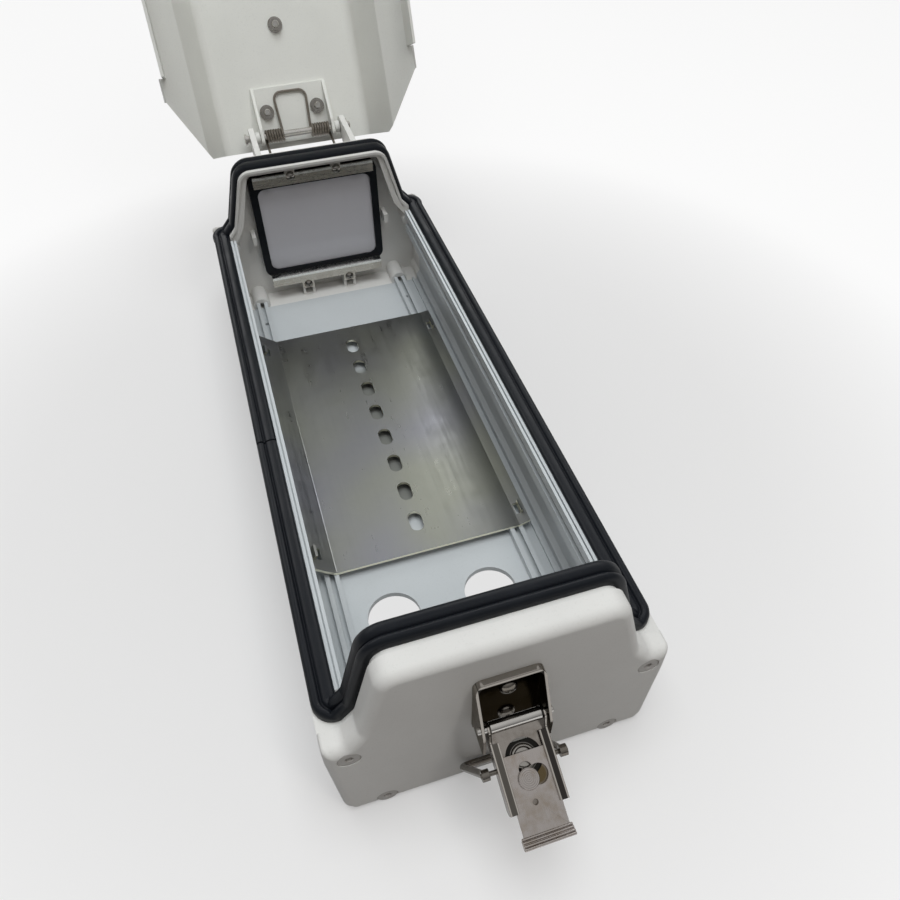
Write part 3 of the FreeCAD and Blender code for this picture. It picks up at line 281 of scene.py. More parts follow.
def new_group(name, entries):
    """A shader group with named inputs (name, kind, default) and the results that a finish needs."""
    group = bpy.data.node_groups.new(name, "ShaderNodeTree")
    for label, kind, default in entries:
        group.interface.new_socket(name=label, in_out="INPUT", socket_type=kind).default_value = default
    for label, kind in (("Colour", COLOUR), ("Roughness", FLOAT), ("Normal", VECTOR)):
        group.interface.new_socket(name=label, in_out="OUTPUT", socket_type=kind)
    return group, group.nodes.new("NodeGroupInput").outputs, group.nodes.new("NodeGroupOutput").inputs


def powder_coat_group():
    """Baked-on paint: fine bumps, small dark specks and a slow change of tone."""
    group, entry, result = new_group(
        "Powder Coat",
        [("Paint", COLOUR, (0.6, 0.6, 0.6, 1.0)), ("Grain Scale", FLOAT, 1100.0),
         ("Depth", FLOAT, 0.00006), ("Mottle", FLOAT, 0.06), ("Gloss", FLOAT, 0.42)])
    place = coordinates(group)
    fine = noise_in(group, place, entry["Grain Scale"], 3.0, 0.5)
    slow = noise_in(group, place, 22.0, 5.0, 0.6)
    shade = range_in(group, slow, 0.3, 0.7, 1.0, math_in(group, "SUBTRACT", 1.0, entry["Mottle"]))
    tone = node_in(group, "ShaderNodeVectorMath", operation="SCALE", Scale=shade)
    feed(group, entry["Paint"], tone.inputs[0])
    specks = range_in(group, fine, 0.30, 0.42, 0.08, 0.0)
    feed(group, mix_in(group, specks, tone.outputs[0], (0.30, 0.29, 0.26)), result["Colour"])
    spread = range_in(group, slow, 0.3, 0.7, -0.05, 0.07)
    feed(group, math_in(group, "ADD", entry["Gloss"], spread), result["Roughness"])
    feed(group, bump_in(group, fine, entry["Depth"]), result["Normal"])
    return group


def rolled_metal_group():
    """Sheet or wire metal: fine streaks along one direction and cloudy stains."""
    group, entry, result = new_group(
        "Rolled Metal",
        [("Metal", COLOUR, (0.6, 0.6, 0.6, 1.0)), ("Stain", COLOUR, (0.3, 0.26, 0.2, 1.0)),
         ("Streaks", VECTOR, (40.0, 900.0, 900.0)), ("Stain Amount", FLOAT, 0.3),
         ("Smoothness", FLOAT, 0.25), ("Depth", FLOAT, 0.00001)])
    place = coordinates(group)
    stretched = vector_in(group, "MULTIPLY", place, entry["Streaks"]).outputs[0]
    streak = noise_in(group, stretched, 1.0, 3.0, 0.6)
    cloud = noise_in(group, place, 140.0, 5.0, 0.65)
    stain = math_in(group, "MULTIPLY", range_in(group, cloud, 0.46, 0.68), entry["Stain Amount"], True)
    feed(group, mix_in(group, stain, entry["Metal"], entry["Stain"]), result["Colour"])
    spread = math_in(group, "ADD", range_in(group, streak, 0.3, 0.7, -0.06, 0.08),
                     range_in(group, cloud, 0.3, 0.7, -0.05, 0.07))
    feed(group, math_in(group, "ADD", entry["Smoothness"], spread, True), result["Roughness"])
    feed(group, bump_in(group, streak, entry["Depth"]), result["Normal"])
    return group


def group_named(name):
    """A shader group, built the first time it is asked for."""
    makers = {"Powder Coat": powder_coat_group, "Rolled Metal": rolled_metal_group}
    return bpy.data.node_groups.get(name) or makers[name]()


def new_material(name, **values):
    """A material, its node tree and its Principled shader, with values on the shader's own sockets."""
    material = bpy.data.materials.new(name)
    material.use_nodes = True
    tree = material.node_tree
    shader = tree.nodes["Principled BSDF"]
    for key, value in values.items():
        feed(tree, value, shader.inputs[key.replace("_", " ")])
    return material, tree, shader


def group_on(tree, shader, name, **values):
    """Places a shared group, wires its results to the shader and gives back its colour."""
    made = tree.nodes.new("ShaderNodeGroup")
    made.node_tree = group_named(name)
    for key, value in values.items():
        feed(tree, value, made.inputs[key.replace("_", " ")])
    for key, target in (("Colour", "Base Color"), ("Roughness", "Roughness"), ("Normal", "Normal")):
        feed(tree, made.outputs[key], shader.inputs[target])
    return made.outputs["Colour"]


# Finishes

def paint(name, colour, mottle=0.06, gloss=0.42, depth=None):
    """Powder coat; a depth of zero makes it smooth, as plastic is."""
    material, tree, shader = new_material(name, Specular_IOR_Level=0.35)
    size = sizes()
    group_on(tree, shader, "Powder Coat", Paint=tuple(colour), Grain_Scale=1.0 / size.paint_grain,
             Depth=size.paint_depth if depth is None else depth, Mottle=mottle, Gloss=gloss)
    return material


def rolled(name, colour, stain, streaks, amount, smoothness, depth, **values):
    """A rolled metal: its material, node tree, the shader's colour socket and the plain colour."""
    material, tree, shader = new_material(name, Metallic=1.0, **values)
    plain = group_on(tree, shader, "Rolled Metal", Metal=tuple(colour), Stain=stain, Streaks=streaks,
                     Stain_Amount=amount, Smoothness=smoothness, Depth=depth)
    return material, tree, shader.inputs["Base Color"], plain


def metal(name, colour, stain=(0.24, 0.20, 0.15), streaks=(60.0, 1400.0, 1400.0), amount=0.3,
          smoothness=0.25):
    """Plated or bare steel that is the same all over."""
    return rolled(name, colour, stain, streaks, amount, smoothness, 0.000006)[0]


def rubber_skin():
    """Moulded black rubber with a satin skin, dusty in places."""
    material, tree, shader = new_material("moulded_rubber", Specular_IOR_Level=0.20)
    place = coordinates(tree)
    slow = noise_in(tree, place, 60.0, 4.0, 0.6)
    fine = noise_in(tree, place, 2500.0, 2.0, 0.5)
    dust = range_in(tree, slow, 0.5, 0.75, 0.0, 0.3)
    colour = mix_in(tree, dust, tuple(colours().rubber), (0.022, 0.024, 0.028))
    feed(tree, colour, shader.inputs["Base Color"])
    feed(tree, range_in(tree, slow, 0.3, 0.7, 0.30, 0.48), shader.inputs["Roughness"])
    feed(tree, bump_in(tree, fine, 0.00003, 0.6), shader.inputs["Normal"])
    return material


def window_pane():
    """Glass under a thin film, pale grey with a trace of pink."""
    return new_material("window_pane", Roughness=0.06, Base_Color=(0.74, 0.735, 0.78),
                        Transmission_Weight=0.25, IOR=1.5)[0]


def zinc_sheet():
    """Zinc-plated sheet with fine rolling lines, a slow change of tint, and its edge faces painted bright
    and warm as a painted highlight.
    """
    material, tree, target, plain = rolled("zinc_sheet", colours().zinc, (0.30, 0.33, 0.30),
                                           (500.0, 12.0, 500.0), 0.08, 0.34, 0.000002)
    slow = noise_in(tree, coordinates(tree), 14.0, 2.0, 0.5)
    tint = mix_in(tree, range_in(tree, slow, 0.35, 0.65), (0.93, 0.92, 1.0), (1.0, 1.0, 0.87))
    tinted = mix_in(tree, 1.0, plain, tint, "MULTIPLY")
    # Painted highlight: faces that stand on edge are lightened to a warm bright tone, as if catching light.
    upright = math_in(tree, "ABSOLUTE", axes_in(tree, "Normal")["Z"])
    painted_edge_highlight = range_in(tree, upright, 0.25, 0.45, 1.0, 0.0)
    feed(tree, mix_in(tree, painted_edge_highlight, tinted, (0.93, 0.90, 0.74)), target)
    return material


def window_bar_steel():
    """Warm stainless strip whose bright edge bands are painted highlights."""
    material, tree, target, plain = rolled("window_bar_steel", (0.60, 0.555, 0.49), (0.42, 0.36, 0.29),
                                           (40.0, 1500.0, 1500.0), 0.3, 0.26, 0.000001)
    height = axes_in(tree)["Z"]
    # Painted highlight: bands lightened by height, above 91 mm and between 19 and 50 mm, as if catching
    # light.
    painted_highlight = math_in(tree, "MAXIMUM", range_in(tree, height, 0.0910, 0.0914),
                   between_in(tree, height, (0.0190, 0.0194), (0.050, 0.060)))
    feed(tree, mix_in(tree, painted_highlight, plain, (0.95, 0.93, 0.88)), target)
    return material


def latch_base_steel():
    """Near-black polished tray, its darkness painted shade for dark reflections, with a painted highlight
    along its rim.
    """
    # Painted shade: the metal is near-black to stand for the dark surroundings it reflects.
    material, tree, target, plain = rolled(
        "latch_base_steel", (0.022, 0.020, 0.018), (0.010, 0.009, 0.008), (1500.0, 70.0, 70.0), 0.5,
        0.16, 0.000004, Specular_Tint=(0.5, 0.48, 0.45))
    x, _, z = axes_in(tree)
    # Painted highlight: the tray's sides and top rim are lightened as if catching light.
    side = range_in(tree, math_in(tree, "ABSOLUTE", x), 0.01195, 0.01215)
    rim = math_in(tree, "MAXIMUM", side, range_in(tree, z, 0.08045, 0.08065))
    feed(tree, mix_in(tree, rim, plain, (0.36, 0.335, 0.305)), target)
    return material


def latch_lever_steel():
    """Stainless channel: bright web, folded strips painted dark as shade, the right one darker than the
    left, with painted highlights along their edges, and a brassy patch.
    """
    material, tree, target, plain = rolled(
        "latch_lever_steel", (0.36, 0.33, 0.30), (0.14, 0.11, 0.08), (1500.0, 70.0, 70.0), 0.5, 0.17,
        0.000004)
    x, y, z = axes_in(tree)
    lean = math_in(tree, "MULTIPLY", math_in(tree, "ADD", y, -PIVOT.y * MM), LEVER_UP.y)
    lift = math_in(tree, "MULTIPLY", math_in(tree, "ADD", z, -PIVOT.z * MM), LEVER_UP.z)
    rise = math_in(tree, "ADD", lean, lift)
    side = math_in(tree, "ABSOLUTE", x)
    strip = math_in(tree, "MULTIPLY", range_in(tree, rise, -0.0042, -0.0040),
                    between_in(tree, side, (0.0076, 0.0079), (0.0105, 0.0107)))
    brass = near_spot(tree, (0.0030, -0.20614, 0.05117), 0.0040, 0.0012)
    colour = mix_in(tree, brass, plain, (0.14, 0.105, 0.055))
    # Painted highlight along the strips' inner and outer edges.
    painted_highlight = math_in(tree, "MAXIMUM", range_in(tree, side, 0.0080, 0.0082, 1.0, 0.0),
                   range_in(tree, side, 0.0101, 0.0103))
    # Painted shade: the folded strips are darkened, the right one more than the left, for how light falls
    # on them.
    dark = mix_in(tree, range_in(tree, x, -0.001, 0.001), (0.13, 0.12, 0.105), (0.05, 0.046, 0.042))
    shaded_and_lit_strips = mix_in(tree, painted_highlight, dark, (0.62, 0.58, 0.53))
    feed(tree, mix_in(tree, strip, colour, shaded_and_lit_strips), target)
    return material


def leaf_spring_steel():
    """Leaf painted nearly black as a painted shadow, with its dome left in a plain steel tone."""
    material, tree, shader = new_material("leaf_spring_steel", Metallic=1.0, Roughness=0.2)
    dome = near_spot(tree, (0.0, -0.19977, 0.05279), 0.0050, 0.0003)
    # Painted shadow: all of the leaf but its dome is nearly black.
    colour = mix_in(tree, dome, (0.02, 0.019, 0.017), (0.42, 0.40, 0.37))
    feed(tree, colour, shader.inputs["Base Color"])
    return material


# Mesh helpers

def linked(name, mesh, material=None):
    """An object at the origin with this mesh and one material."""
    made = bpy.data.objects.new(name, mesh)
    bpy.context.scene.collection.objects.link(made)
    if material:
        mesh.materials.clear()
        mesh.materials.append(material)
    return made


def baked(piece):
    """A piece with its modifiers turned into mesh and removed."""
    graph = bpy.context.evaluated_depsgraph_get()
    mesh = bpy.data.meshes.new_from_object(piece.evaluated_get(graph))
    piece.modifiers.clear()
    piece.data = mesh
    return piece


def smooth_by_angle(mesh, angle):
    """Smooth faces, with edges sharper than the angle left sharp."""
    work = bmesh.new()
    work.from_mesh(mesh)
    for face in work.faces:
        face.smooth = True
    for edge in work.edges:
        if len(edge.link_faces) == 2:
            edge.smooth = edge.calc_face_angle(0.0) < angle
    work.to_mesh(mesh)
    work.free()


def fitted(piece, node):
    """Lets a piece stand for a CAD node in the frame."""
    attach(piece, BODY_OF[node])
    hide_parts(node)
    return piece


def even_normals(piece):
    """Flat faces stay flat up to their rounded edges."""
    weigh = piece.modifiers.new("Normals", "WEIGHTED_NORMAL")
    weigh.mode = "FACE_AREA"
    weigh.weight = 100
    weigh.keep_sharp = True
    return piece


def merged(node):
    """A CAD node's mesh with its doubled points merged and its flat triangles joined into faces."""
    work = bmesh.new()
    work.from_mesh(NODES[node].data)
    bmesh.ops.remove_doubles(work, verts=work.verts, dist=SAME_PLACE)
    bmesh.ops.dissolve_limit(work, angle_limit=radians(0.6), verts=work.verts, edges=work.edges,
                             use_dissolve_boundaries=False)
    for face in work.faces:
        face.smooth = True
    return work


def mesh_from(work, name, angle=None):
    """The mesh of finished work, smooth but for the edges sharper than an angle in degrees."""
    mesh = bpy.data.meshes.new(name)
    work.to_mesh(mesh)
    work.free()
    if angle is not None:
        smooth_by_angle(mesh, radians(angle))
    return mesh


def circle(work, radii, height):
    """A ring of points about Z, one for each radius."""
    turn = 2 * pi / len(radii)
    return [work.verts.new((radius * cos(turn * k), radius * sin(turn * k), height))
            for k, radius in enumerate(radii)]


def bridge(work, rings):
    """Faces from each ring of points to the next; a ring of one point closes an end."""
    for lower, upper in zip(rings, rings[1:]):
        count = max(len(lower), len(upper))
        for k in range(count):
            after = (k + 1) % count
            if len(lower) == 1:
                work.faces.new((lower[0], upper[after], upper[k]))
            elif len(upper) == 1:
                work.faces.new((lower[k], lower[after], upper[0]))
            else:
                work.faces.new((lower[k], lower[after], upper[after], upper[k]))
    bmesh.ops.recalc_face_normals(work, faces=work.faces)


def refined(node, name, material, edge, steps=2, angle=32.0, shape=None):
    """A copy of a CAD node with its edges softly rounded, which stands for the node."""
    work = merged(node)
    if shape:
        shape(work)
    piece = linked(name, mesh_from(work, name, None if edge > 0 else angle), material)
    if edge > 0:
        bevel = piece.modifiers.new("Edges", "BEVEL")
        bevel.width = edge
        bevel.segments = steps
        bevel.limit_method = "ANGLE"
        bevel.angle_limit = radians(angle)
        bevel.use_clamp_overlap = True
    baked(even_normals(piece))
    piece.data.materials.clear()
    piece.data.materials.append(material)
    return fitted(piece, node)


# Geometry node helpers

def new_tree(name, entries):
    """A geometry tree with a geometry input, named inputs (name, kind, default) and its output."""
    tree = bpy.data.node_groups.new(name, "GeometryNodeTree")
    tree.interface.new_socket(name="Geometry", in_out="INPUT", socket_type="NodeSocketGeometry")
    for label, kind, default in entries:
        socket = tree.interface.new_socket(name=label, in_out="INPUT", socket_type=kind)
        if default is not None:
            socket.default_value = default
    tree.interface.new_socket(name="Geometry", in_out="OUTPUT", socket_type="NodeSocketGeometry")
    return tree, tree.nodes.new("NodeGroupInput"), tree.nodes.new("NodeGroupOutput")


def finish_tree(tree, entry, result, geometry):
    """Ends a tree in Realize Instances and Set Material."""
    real = node_in(tree, "GeometryNodeRealizeInstances", Geometry=geometry)
    finished = node_in(tree, "GeometryNodeSetMaterial", Geometry=real.outputs[0],
                       Material=entry.outputs["Finish"])
    feed(tree, finished.outputs[0], result.inputs[0])
    return tree


def grown(piece, tree, values):
    """Runs a geometry tree on a piece and keeps the plain mesh that comes out."""
    modifier = piece.modifiers.new(tree.name, "NODES")
    modifier.node_group = tree
    for item in tree.interface.items_tree:
        if item.item_type == "SOCKET" and item.in_out == "INPUT" and item.name in values:
            modifier[item.identifier] = values[item.name]
    return baked(piece)


def copies_tree():
    """Copies of one object on points, turned to face along each point's Facing."""
    found = bpy.data.node_groups.get("Copies On Points")
    if found:
        return found
    tree, entry, result = new_tree(
        "Copies On Points", [("Copy", "NodeSocketObject", None),
                             ("Finish", "NodeSocketMaterial", None)])
    copy = node_in(tree, "GeometryNodeObjectInfo", Object=entry.outputs["Copy"])
    facing = node_in(tree, "GeometryNodeInputNamedAttribute", data_type="FLOAT_VECTOR", Name="Facing")
    align = node_in(tree, "FunctionNodeAlignRotationToVector", axis="Z",
                    Vector=facing.outputs["Attribute"])
    place = node_in(tree, "GeometryNodeInstanceOnPoints", Points=entry.outputs["Geometry"],
                    Instance=copy.outputs["Geometry"], Rotation=align.outputs["Rotation"])
    return finish_tree(tree, entry, result, place.outputs["Instances"])


def points_piece(name, spots):
    """An object whose vertices are points (place, facing)."""
    mesh = bpy.data.meshes.new(name)
    mesh.from_pydata([tuple(place) for place, _ in spots], [], [])
    facing = mesh.attributes.new("Facing", "FLOAT_VECTOR", "POINT")
    for index, (_, direction) in enumerate(spots):
        facing.data[index].vector = direction
    return linked(name, mesh)


def copied(name, copy, spots, finish):
    """One piece made of copies of an object at (place, facing) spots, in metres."""
    return grown(points_piece(name, spots), copies_tree(), {"Copy": copy, "Finish": finish})


def wire_tree():
    """A round wire along a curve."""
    tree, entry, result = new_tree(
        "Round Wire", [("Wire Radius", FLOAT, 0.0008), ("Sides", "NodeSocketInt", 12),
                       ("Finish", "NodeSocketMaterial", None)])
    line = node_in(tree, "GeometryNodeMeshToCurve", Mesh=entry.outputs["Geometry"])
    section = node_in(tree, "GeometryNodeCurvePrimitiveCircle", Radius=entry.outputs["Wire Radius"],
                      Resolution=entry.outputs["Sides"])
    tube = node_in(tree, "GeometryNodeCurveToMesh", Curve=line.outputs["Curve"],
                   Profile_Curve=section.outputs["Curve"], Fill_Caps=True)
    smooth = node_in(tree, "GeometryNodeSetShadeSmooth", Geometry=tube.outputs[0])
    return finish_tree(tree, entry, result, smooth.outputs[0])


def lathe(profile, steps, name, ring=False):
    """A closed mesh turned about Z from (radius, height) points, from axis to axis or round a bore."""
    work = bmesh.new()
    rings = [circle(work, [radius] * (steps if radius > 0 else 1), height) for radius, height in profile]
    if ring:
        rings.append(rings[0])
    bridge(work, rings)
    return mesh_from(work, name, 40)


def turned_set(node, name, profile, spots, finish, steps=36, ring=False):
    """Turned copies, profile in millimetres, at (place, facing) spots, which stand for a CAD node."""
    scaled = [(radius * MM, height * MM) for radius, height in profile]
    copy = linked("turned_copy", lathe(scaled, steps, "turned_copy", ring))
    spots = [(tuple(v * MM for v in place), tuple(facing)) for place, facing in spots]
    piece = copied(name, copy, spots, finish)
    bpy.data.objects.remove(copy)
    return fitted(piece, node)


def rod_profile(radius, low, high, round_end=0.3):
    """A rod along the axis with rounded ends."""
    soft = round_end * 0.3
    return [(0, low), (radius - round_end, low), (radius - soft, low + soft), (radius, low + round_end),
            (radius, high - round_end), (radius - soft, high - soft), (radius - round_end, high), (0, high)]


def ring_profile(bore, radius, low, high, soft=0.15):
    """A ring round the axis with softened outer edges."""
    return [(bore, low), (radius - soft, low), (radius, low + soft), (radius, high - soft),
            (radius - soft, high), (bore, high)]


def dome_profile(radius, height, shank, reach, recess=1.2):
    """A round-headed screw seen from its top at 0, with a round driver recess."""
    points = [(0, -reach), (shank, -reach), (shank, -height), (radius, -height)]
    for step in range(1, 7):
        angle = step / 6 * pi / 2 * 0.80
        points.append((radius * cos(angle), -height + height * sin(angle) / sin(pi / 2 * 0.80)))
    rim = min(recess, points[-1][0] - 0.1)
    return points + [(rim, 0.0), (rim - 0.15, -0.15), (rim - 0.25, -height * 0.5), (0, -height * 0.6)]


def path_piece(name, points):
    """An object whose edges follow a line of points in millimetres."""
    mesh = bpy.data.meshes.new(name)
    mesh.from_pydata([tuple(v * MM for v in point) for point in points],
                     [(k, k + 1) for k in range(len(points) - 1)], [])
    return linked(name, mesh)


def rounded_line(points, steps=8):
    """A line through (place, radius) corners with an arc of short steps at each radius."""
    line = [Vector(points[0][0])]
    for before, (corner, radius), after in zip(points, points[1:], points[2:]):
        corner = Vector(corner)
        back = (Vector(before[0]) - corner).normalized()
        ahead = (Vector(after[0]) - corner).normalized()
        half = back.angle(ahead) / 2
        reach = radius / tan(half)
        middle = corner + (back + ahead).normalized() * (radius / sin(half))
        start = corner + back * reach - middle
        end = corner + ahead * reach - middle
        for step in range(steps + 1):
            line.append(middle + start.lerp(end, step / steps).normalized() * radius)
    line.append(Vector(points[-1][0]))
    return line


# Operators, one for each group of pieces

class HOUSING_OT_stage(bpy.types.Operator):
    """Camera at the photo's angle, pale floor and soft studio light"""
    bl_idname = "housing.stage"
    bl_label = "Stage"

    def execute(self, context):
        setting = studio()
        scene = context.scene
        scene.view_settings.view_transform = "Standard"
        camera = bpy.data.cameras.new("camera")
        camera.sensor_width = 36.0
        camera.lens = setting.lens
        camera.clip_start = 0.01
        camera.clip_end = 50.0
        holder = bpy.data.objects.new("camera", camera)
        scene.collection.objects.link(holder)
        yaw, pitch, roll = setting.camera_yaw, setting.camera_pitch, setting.camera_roll
        ahead = Vector((-sin(yaw) * cos(pitch), cos(yaw) * cos(pitch), -sin(pitch)))
        level = Vector((cos(yaw), sin(yaw), 0.0))
        above = level.cross(ahead)
        right = level * cos(roll) + above * sin(roll)
        up = above * cos(roll) - level * sin(roll)
        turn = Matrix((right, up, -ahead)).transposed()
        holder.matrix_world = Matrix.Translation(setting.camera_place) @ turn.to_4x4()
        scene.camera = holder
        self.make_floor(setting)
        self.make_world(setting)
        for lamp in LAMPS:
            self.make_lamp(*lamp)
        return {"FINISHED"}

    def make_floor(self, setting):
        """Pale floor that shines by itself away from the housing, and keeps the shadow close to it."""
        work = bmesh.new()
        bmesh.ops.create_grid(work, x_segments=1, y_segments=1, size=FLOOR_HALF)
        bmesh.ops.translate(work, verts=work.verts, vec=(0, 0, -FLOOR_DROP))
        material, tree, shader = new_material("floor", Roughness=0.9, Specular_IOR_Level=0.0)
        path = tree.nodes.new("ShaderNodeLightPath").outputs
        plain = tuple(setting.floor_colour)
        tone = mix_in(tree, path["Is Camera Ray"], tuple(FLOOR_BOUNCE * v for v in plain), plain)
        feed(tree, tone, shader.inputs["Base Color"])
        far = vector_in(tree, "LENGTH", coordinates(tree)).outputs["Value"]
        glow = node_in(tree, "ShaderNodeEmission", Color=(1.0, 1.0, 1.0),
                       Strength=range_in(tree, far, 0.10, 0.38, 0.76, 1.04))
        away = range_in(tree, far, 0.20, 0.36, 0.45 * setting.glow, setting.glow)
        share = math_in(tree, "MAXIMUM", self.footprint(tree), away)
        shown = math_in(tree, "MAXIMUM", path["Is Camera Ray"], path["Is Glossy Ray"])
        shown = math_in(tree, "MAXIMUM", shown, path["Is Transmission Ray"])
        seen = tree.nodes.new("ShaderNodeMixShader")
        for index, value in enumerate((math_in(tree, "MULTIPLY", share, shown), shader.outputs[0],
                                       glow.outputs[0])):
            feed(tree, value, seen.inputs[index])
        feed(tree, seen.outputs[0], tree.nodes["Material Output"].inputs["Surface"])
        linked("floor", mesh_from(work, "floor"), material)

    def footprint(self, tree):
        """One where the floor lies under the cable entries, so that they show as bright as in daylight."""
        x, y, _ = axes_in(tree)
        wide = math_in(tree, "LESS_THAN", math_in(tree, "ABSOLUTE", x), 0.058)
        long = math_in(tree, "LESS_THAN", math_in(tree, "ABSOLUTE", y), 0.150)
        return math_in(tree, "MULTIPLY", wide, long)

    def make_world(self, setting):
        """Soft light from above for what is lit, and a paler ceiling with a bright band for reflections."""
        world = bpy.data.worlds.new("studio")
        bpy.context.scene.world = world
        world.use_nodes = True
        tree = world.node_tree
        back = tree.nodes["Background"].inputs
        path = tree.nodes.new("ShaderNodeLightPath").outputs
        _, ahead, up = axes_in(tree, "Generated")
        lit = range_in(tree, up, 0.0, 1.0, setting.horizon, setting.sky)
        ceiling = range_in(tree, up, 0.05, 0.95, 0.10, 0.62)
        band = math_in(tree, "MULTIPLY", between_in(tree, up, (0.36, 0.48), (0.66, 0.78)),
                       range_in(tree, ahead, 0.35, 0.60, 0.0, 2.6))
        mirrored = math_in(tree, "ADD", ceiling, band)
        light = self.either(tree, path["Is Glossy Ray"], lit, mirrored)
        seen = math_in(tree, "MAXIMUM", path["Is Camera Ray"], path["Is Transmission Ray"])
        feed(tree, self.either(tree, seen, light, BACKDROP), back["Strength"])
        warm = math_in(tree, "MULTIPLY", range_in(tree, up, 0.0, 0.7, 1.0, 0.0),
                       range_in(tree, ahead, -0.4, 0.0, 1.0, 0.0))
        warm = math_in(tree, "MULTIPLY", path["Is Diffuse Ray"], warm)
        feed(tree, mix_in(tree, warm, (1.0, 1.0, 1.0), (1.0, 0.80, 0.62)), back["Color"])

    def either(self, tree, share, first, second):
        """The first number, or the second as the share goes to one."""
        made = tree.nodes.new("ShaderNodeMix")
        for index, value in ((0, share), (2, first), (3, second)):
            feed(tree, value, made.inputs[index])
        return made.outputs[0]

    def make_lamp(self, name, place, target, size, power, tint):
        light = bpy.data.lights.new(name, "AREA")
        light.shape = "SQUARE"
        light.size = size
        light.energy = power
        light.color = tint
        lamp = bpy.data.objects.new(name, light)
        bpy.context.scene.collection.objects.link(lamp)
        lamp.visible_glossy = False
        aim = Vector(target) - Vector(place)
        lamp.matrix_world = (Matrix.Translation(place)
                             @ aim.to_track_quat("-Z", "Y").to_matrix().to_4x4())


class HOUSING_OT_painted(bpy.types.Operator):
    """Cast ends, trough, lid and lid bracket with their painted finish"""
    bl_idname = "housing.painted"
    bl_label = "Painted pieces"

    def execute(self, context):
        shade = colours()
        edge = sizes().soft_edge
        casting = paint("casting_coat", shade.casting_paint)
        lid = paint("lid_coat", shade.lid_paint, gloss=0.45)
        trough = paint("trough_coat", shade.trough_paint, mottle=0.04, gloss=0.36, depth=0.000008)
        refined("rear_plate", "rear_end", casting, edge, shape=self.thin_roof)
        refined("front_plate", "front_end", casting, edge, shape=self.thin_roof)
        self.shade_below_slots(trough)
        refined("trough_extrusion", "trough", trough, sizes().sheet_edge)
        refined("lid", "lid_sheet", lid, sizes().sheet_edge, angle=40.0)
        refined("lid_bracket", "lid_hinge_bracket", lid, sizes().sheet_edge)
        return {"FINISHED"}

    def shade_below_slots(self, material):
        """Painted shade: a darker strip of the trough's floor below the camera plate's slots, where the
        plate shades it.
        """
        tree = material.node_tree
        target = tree.nodes["Principled BSDF"].inputs["Base Color"]
        x, y, _ = axes_in(tree)
        wide = range_in(tree, math_in(tree, "ABSOLUTE", x), 0.015, 0.022, 1.0, 0.0)
        long = between_in(tree, y, (-0.045, -0.040), (0.070, 0.080))
        painted = target.links[0].from_socket
        # Painted shade under the camera plate, seen through its slots.
        painted_shade = mix_in(tree, math_in(tree, "MULTIPLY", wide, long), painted, (0.21, 0.215, 0.20))
        feed(tree, painted_shade, target)

    def thin_roof(self, work):
        """Slopes an end's roof up inside, so that its edge is thin, and keeps its lip under the seal."""
        low, high = 86.0, 94.0
        rise = 1.9
        shoulder_drop = 3.5
        for vert in work.verts:
            x, y, z = (v / MM for v in vert.co)
            inside = abs(x) < RIM_TOP_HALF + (RIM_TOP - z) * RIM_SLOPE - 2.0
            if abs(abs(y) - END_INNER) < 0.1 and inside and low < z < RIM_TOP - 2.0:
                vert.co.z += rise * MM * min((z - low) / (high - low), 1.0)
            if z > 58.5 and (abs(y - END_INNER) < 0.1 or -SEAL_INNER < y < 0):
                vert.co.y = copysign(SEAL_INNER * MM, y)
            if y > 170.9 and abs(x) > 57.5 and 55.4 < z < 58.0:
                vert.co.z -= shoulder_drop * MM
        bmesh.ops.dissolve_degenerate(work, dist=SAME_PLACE, edges=work.edges)


class HOUSING_OT_end_screws(bpy.types.Operator):
    """Socket screws at the four corners of both ends"""
    bl_idname = "housing.end_screws"
    bl_label = "End screws"

    def execute(self, context):
        size = sizes()
        socket = size.screw_socket / 2 / cos(pi / 6)
        copy = linked("screw_copy", self.head_mesh(size.screw_head, size.screw_head_height, socket))
        finish = paint("end_screw_coat", (0.52, 0.50, 0.475), gloss=0.34, depth=0.0)
        corners = [(side * x, z) for side in (-1, 1) for x, z in ((0.059, 0.050), (0.048, 0.0049))]
        for node, name, facing in (("rear_plate_screws", "rear_end_screws", -1.0),
                                   ("front_plate_screws", "front_end_screws", 1.0)):
            low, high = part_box(node)
            outer = low.y if facing < 0 else high.y
            spots = [((x, outer, z), (0.0, facing, 0.0)) for x, z in corners]
            fitted(copied(name, copy, spots, finish), node)
        bpy.data.objects.remove(copy)
        return {"FINISHED"}

    def head_mesh(self, radius, height, socket):
        """A head whose face is at Z = 0 and looks up, with a hexagonal socket."""
        steps = 24
        deep = 0.0018
        rim = 0.0003
        third = pi / 3
        hexagon = [socket * cos(pi / 6) / cos(2 * pi * k / steps % third - third / 2)
                   for k in range(steps)]
        rings = (([0.0], -height), ([radius] * steps, -height), ([radius] * steps, -rim),
                 ([radius - rim] * steps, 0.0), ([1.12 * r for r in hexagon], 0.0),
                 (hexagon, -0.0002), (hexagon, -deep), ([0.0], -deep))
        work = bmesh.new()
        bridge(work, [circle(work, radii, level) for radii, level in rings])
        return mesh_from(work, "screw_copy", 35)


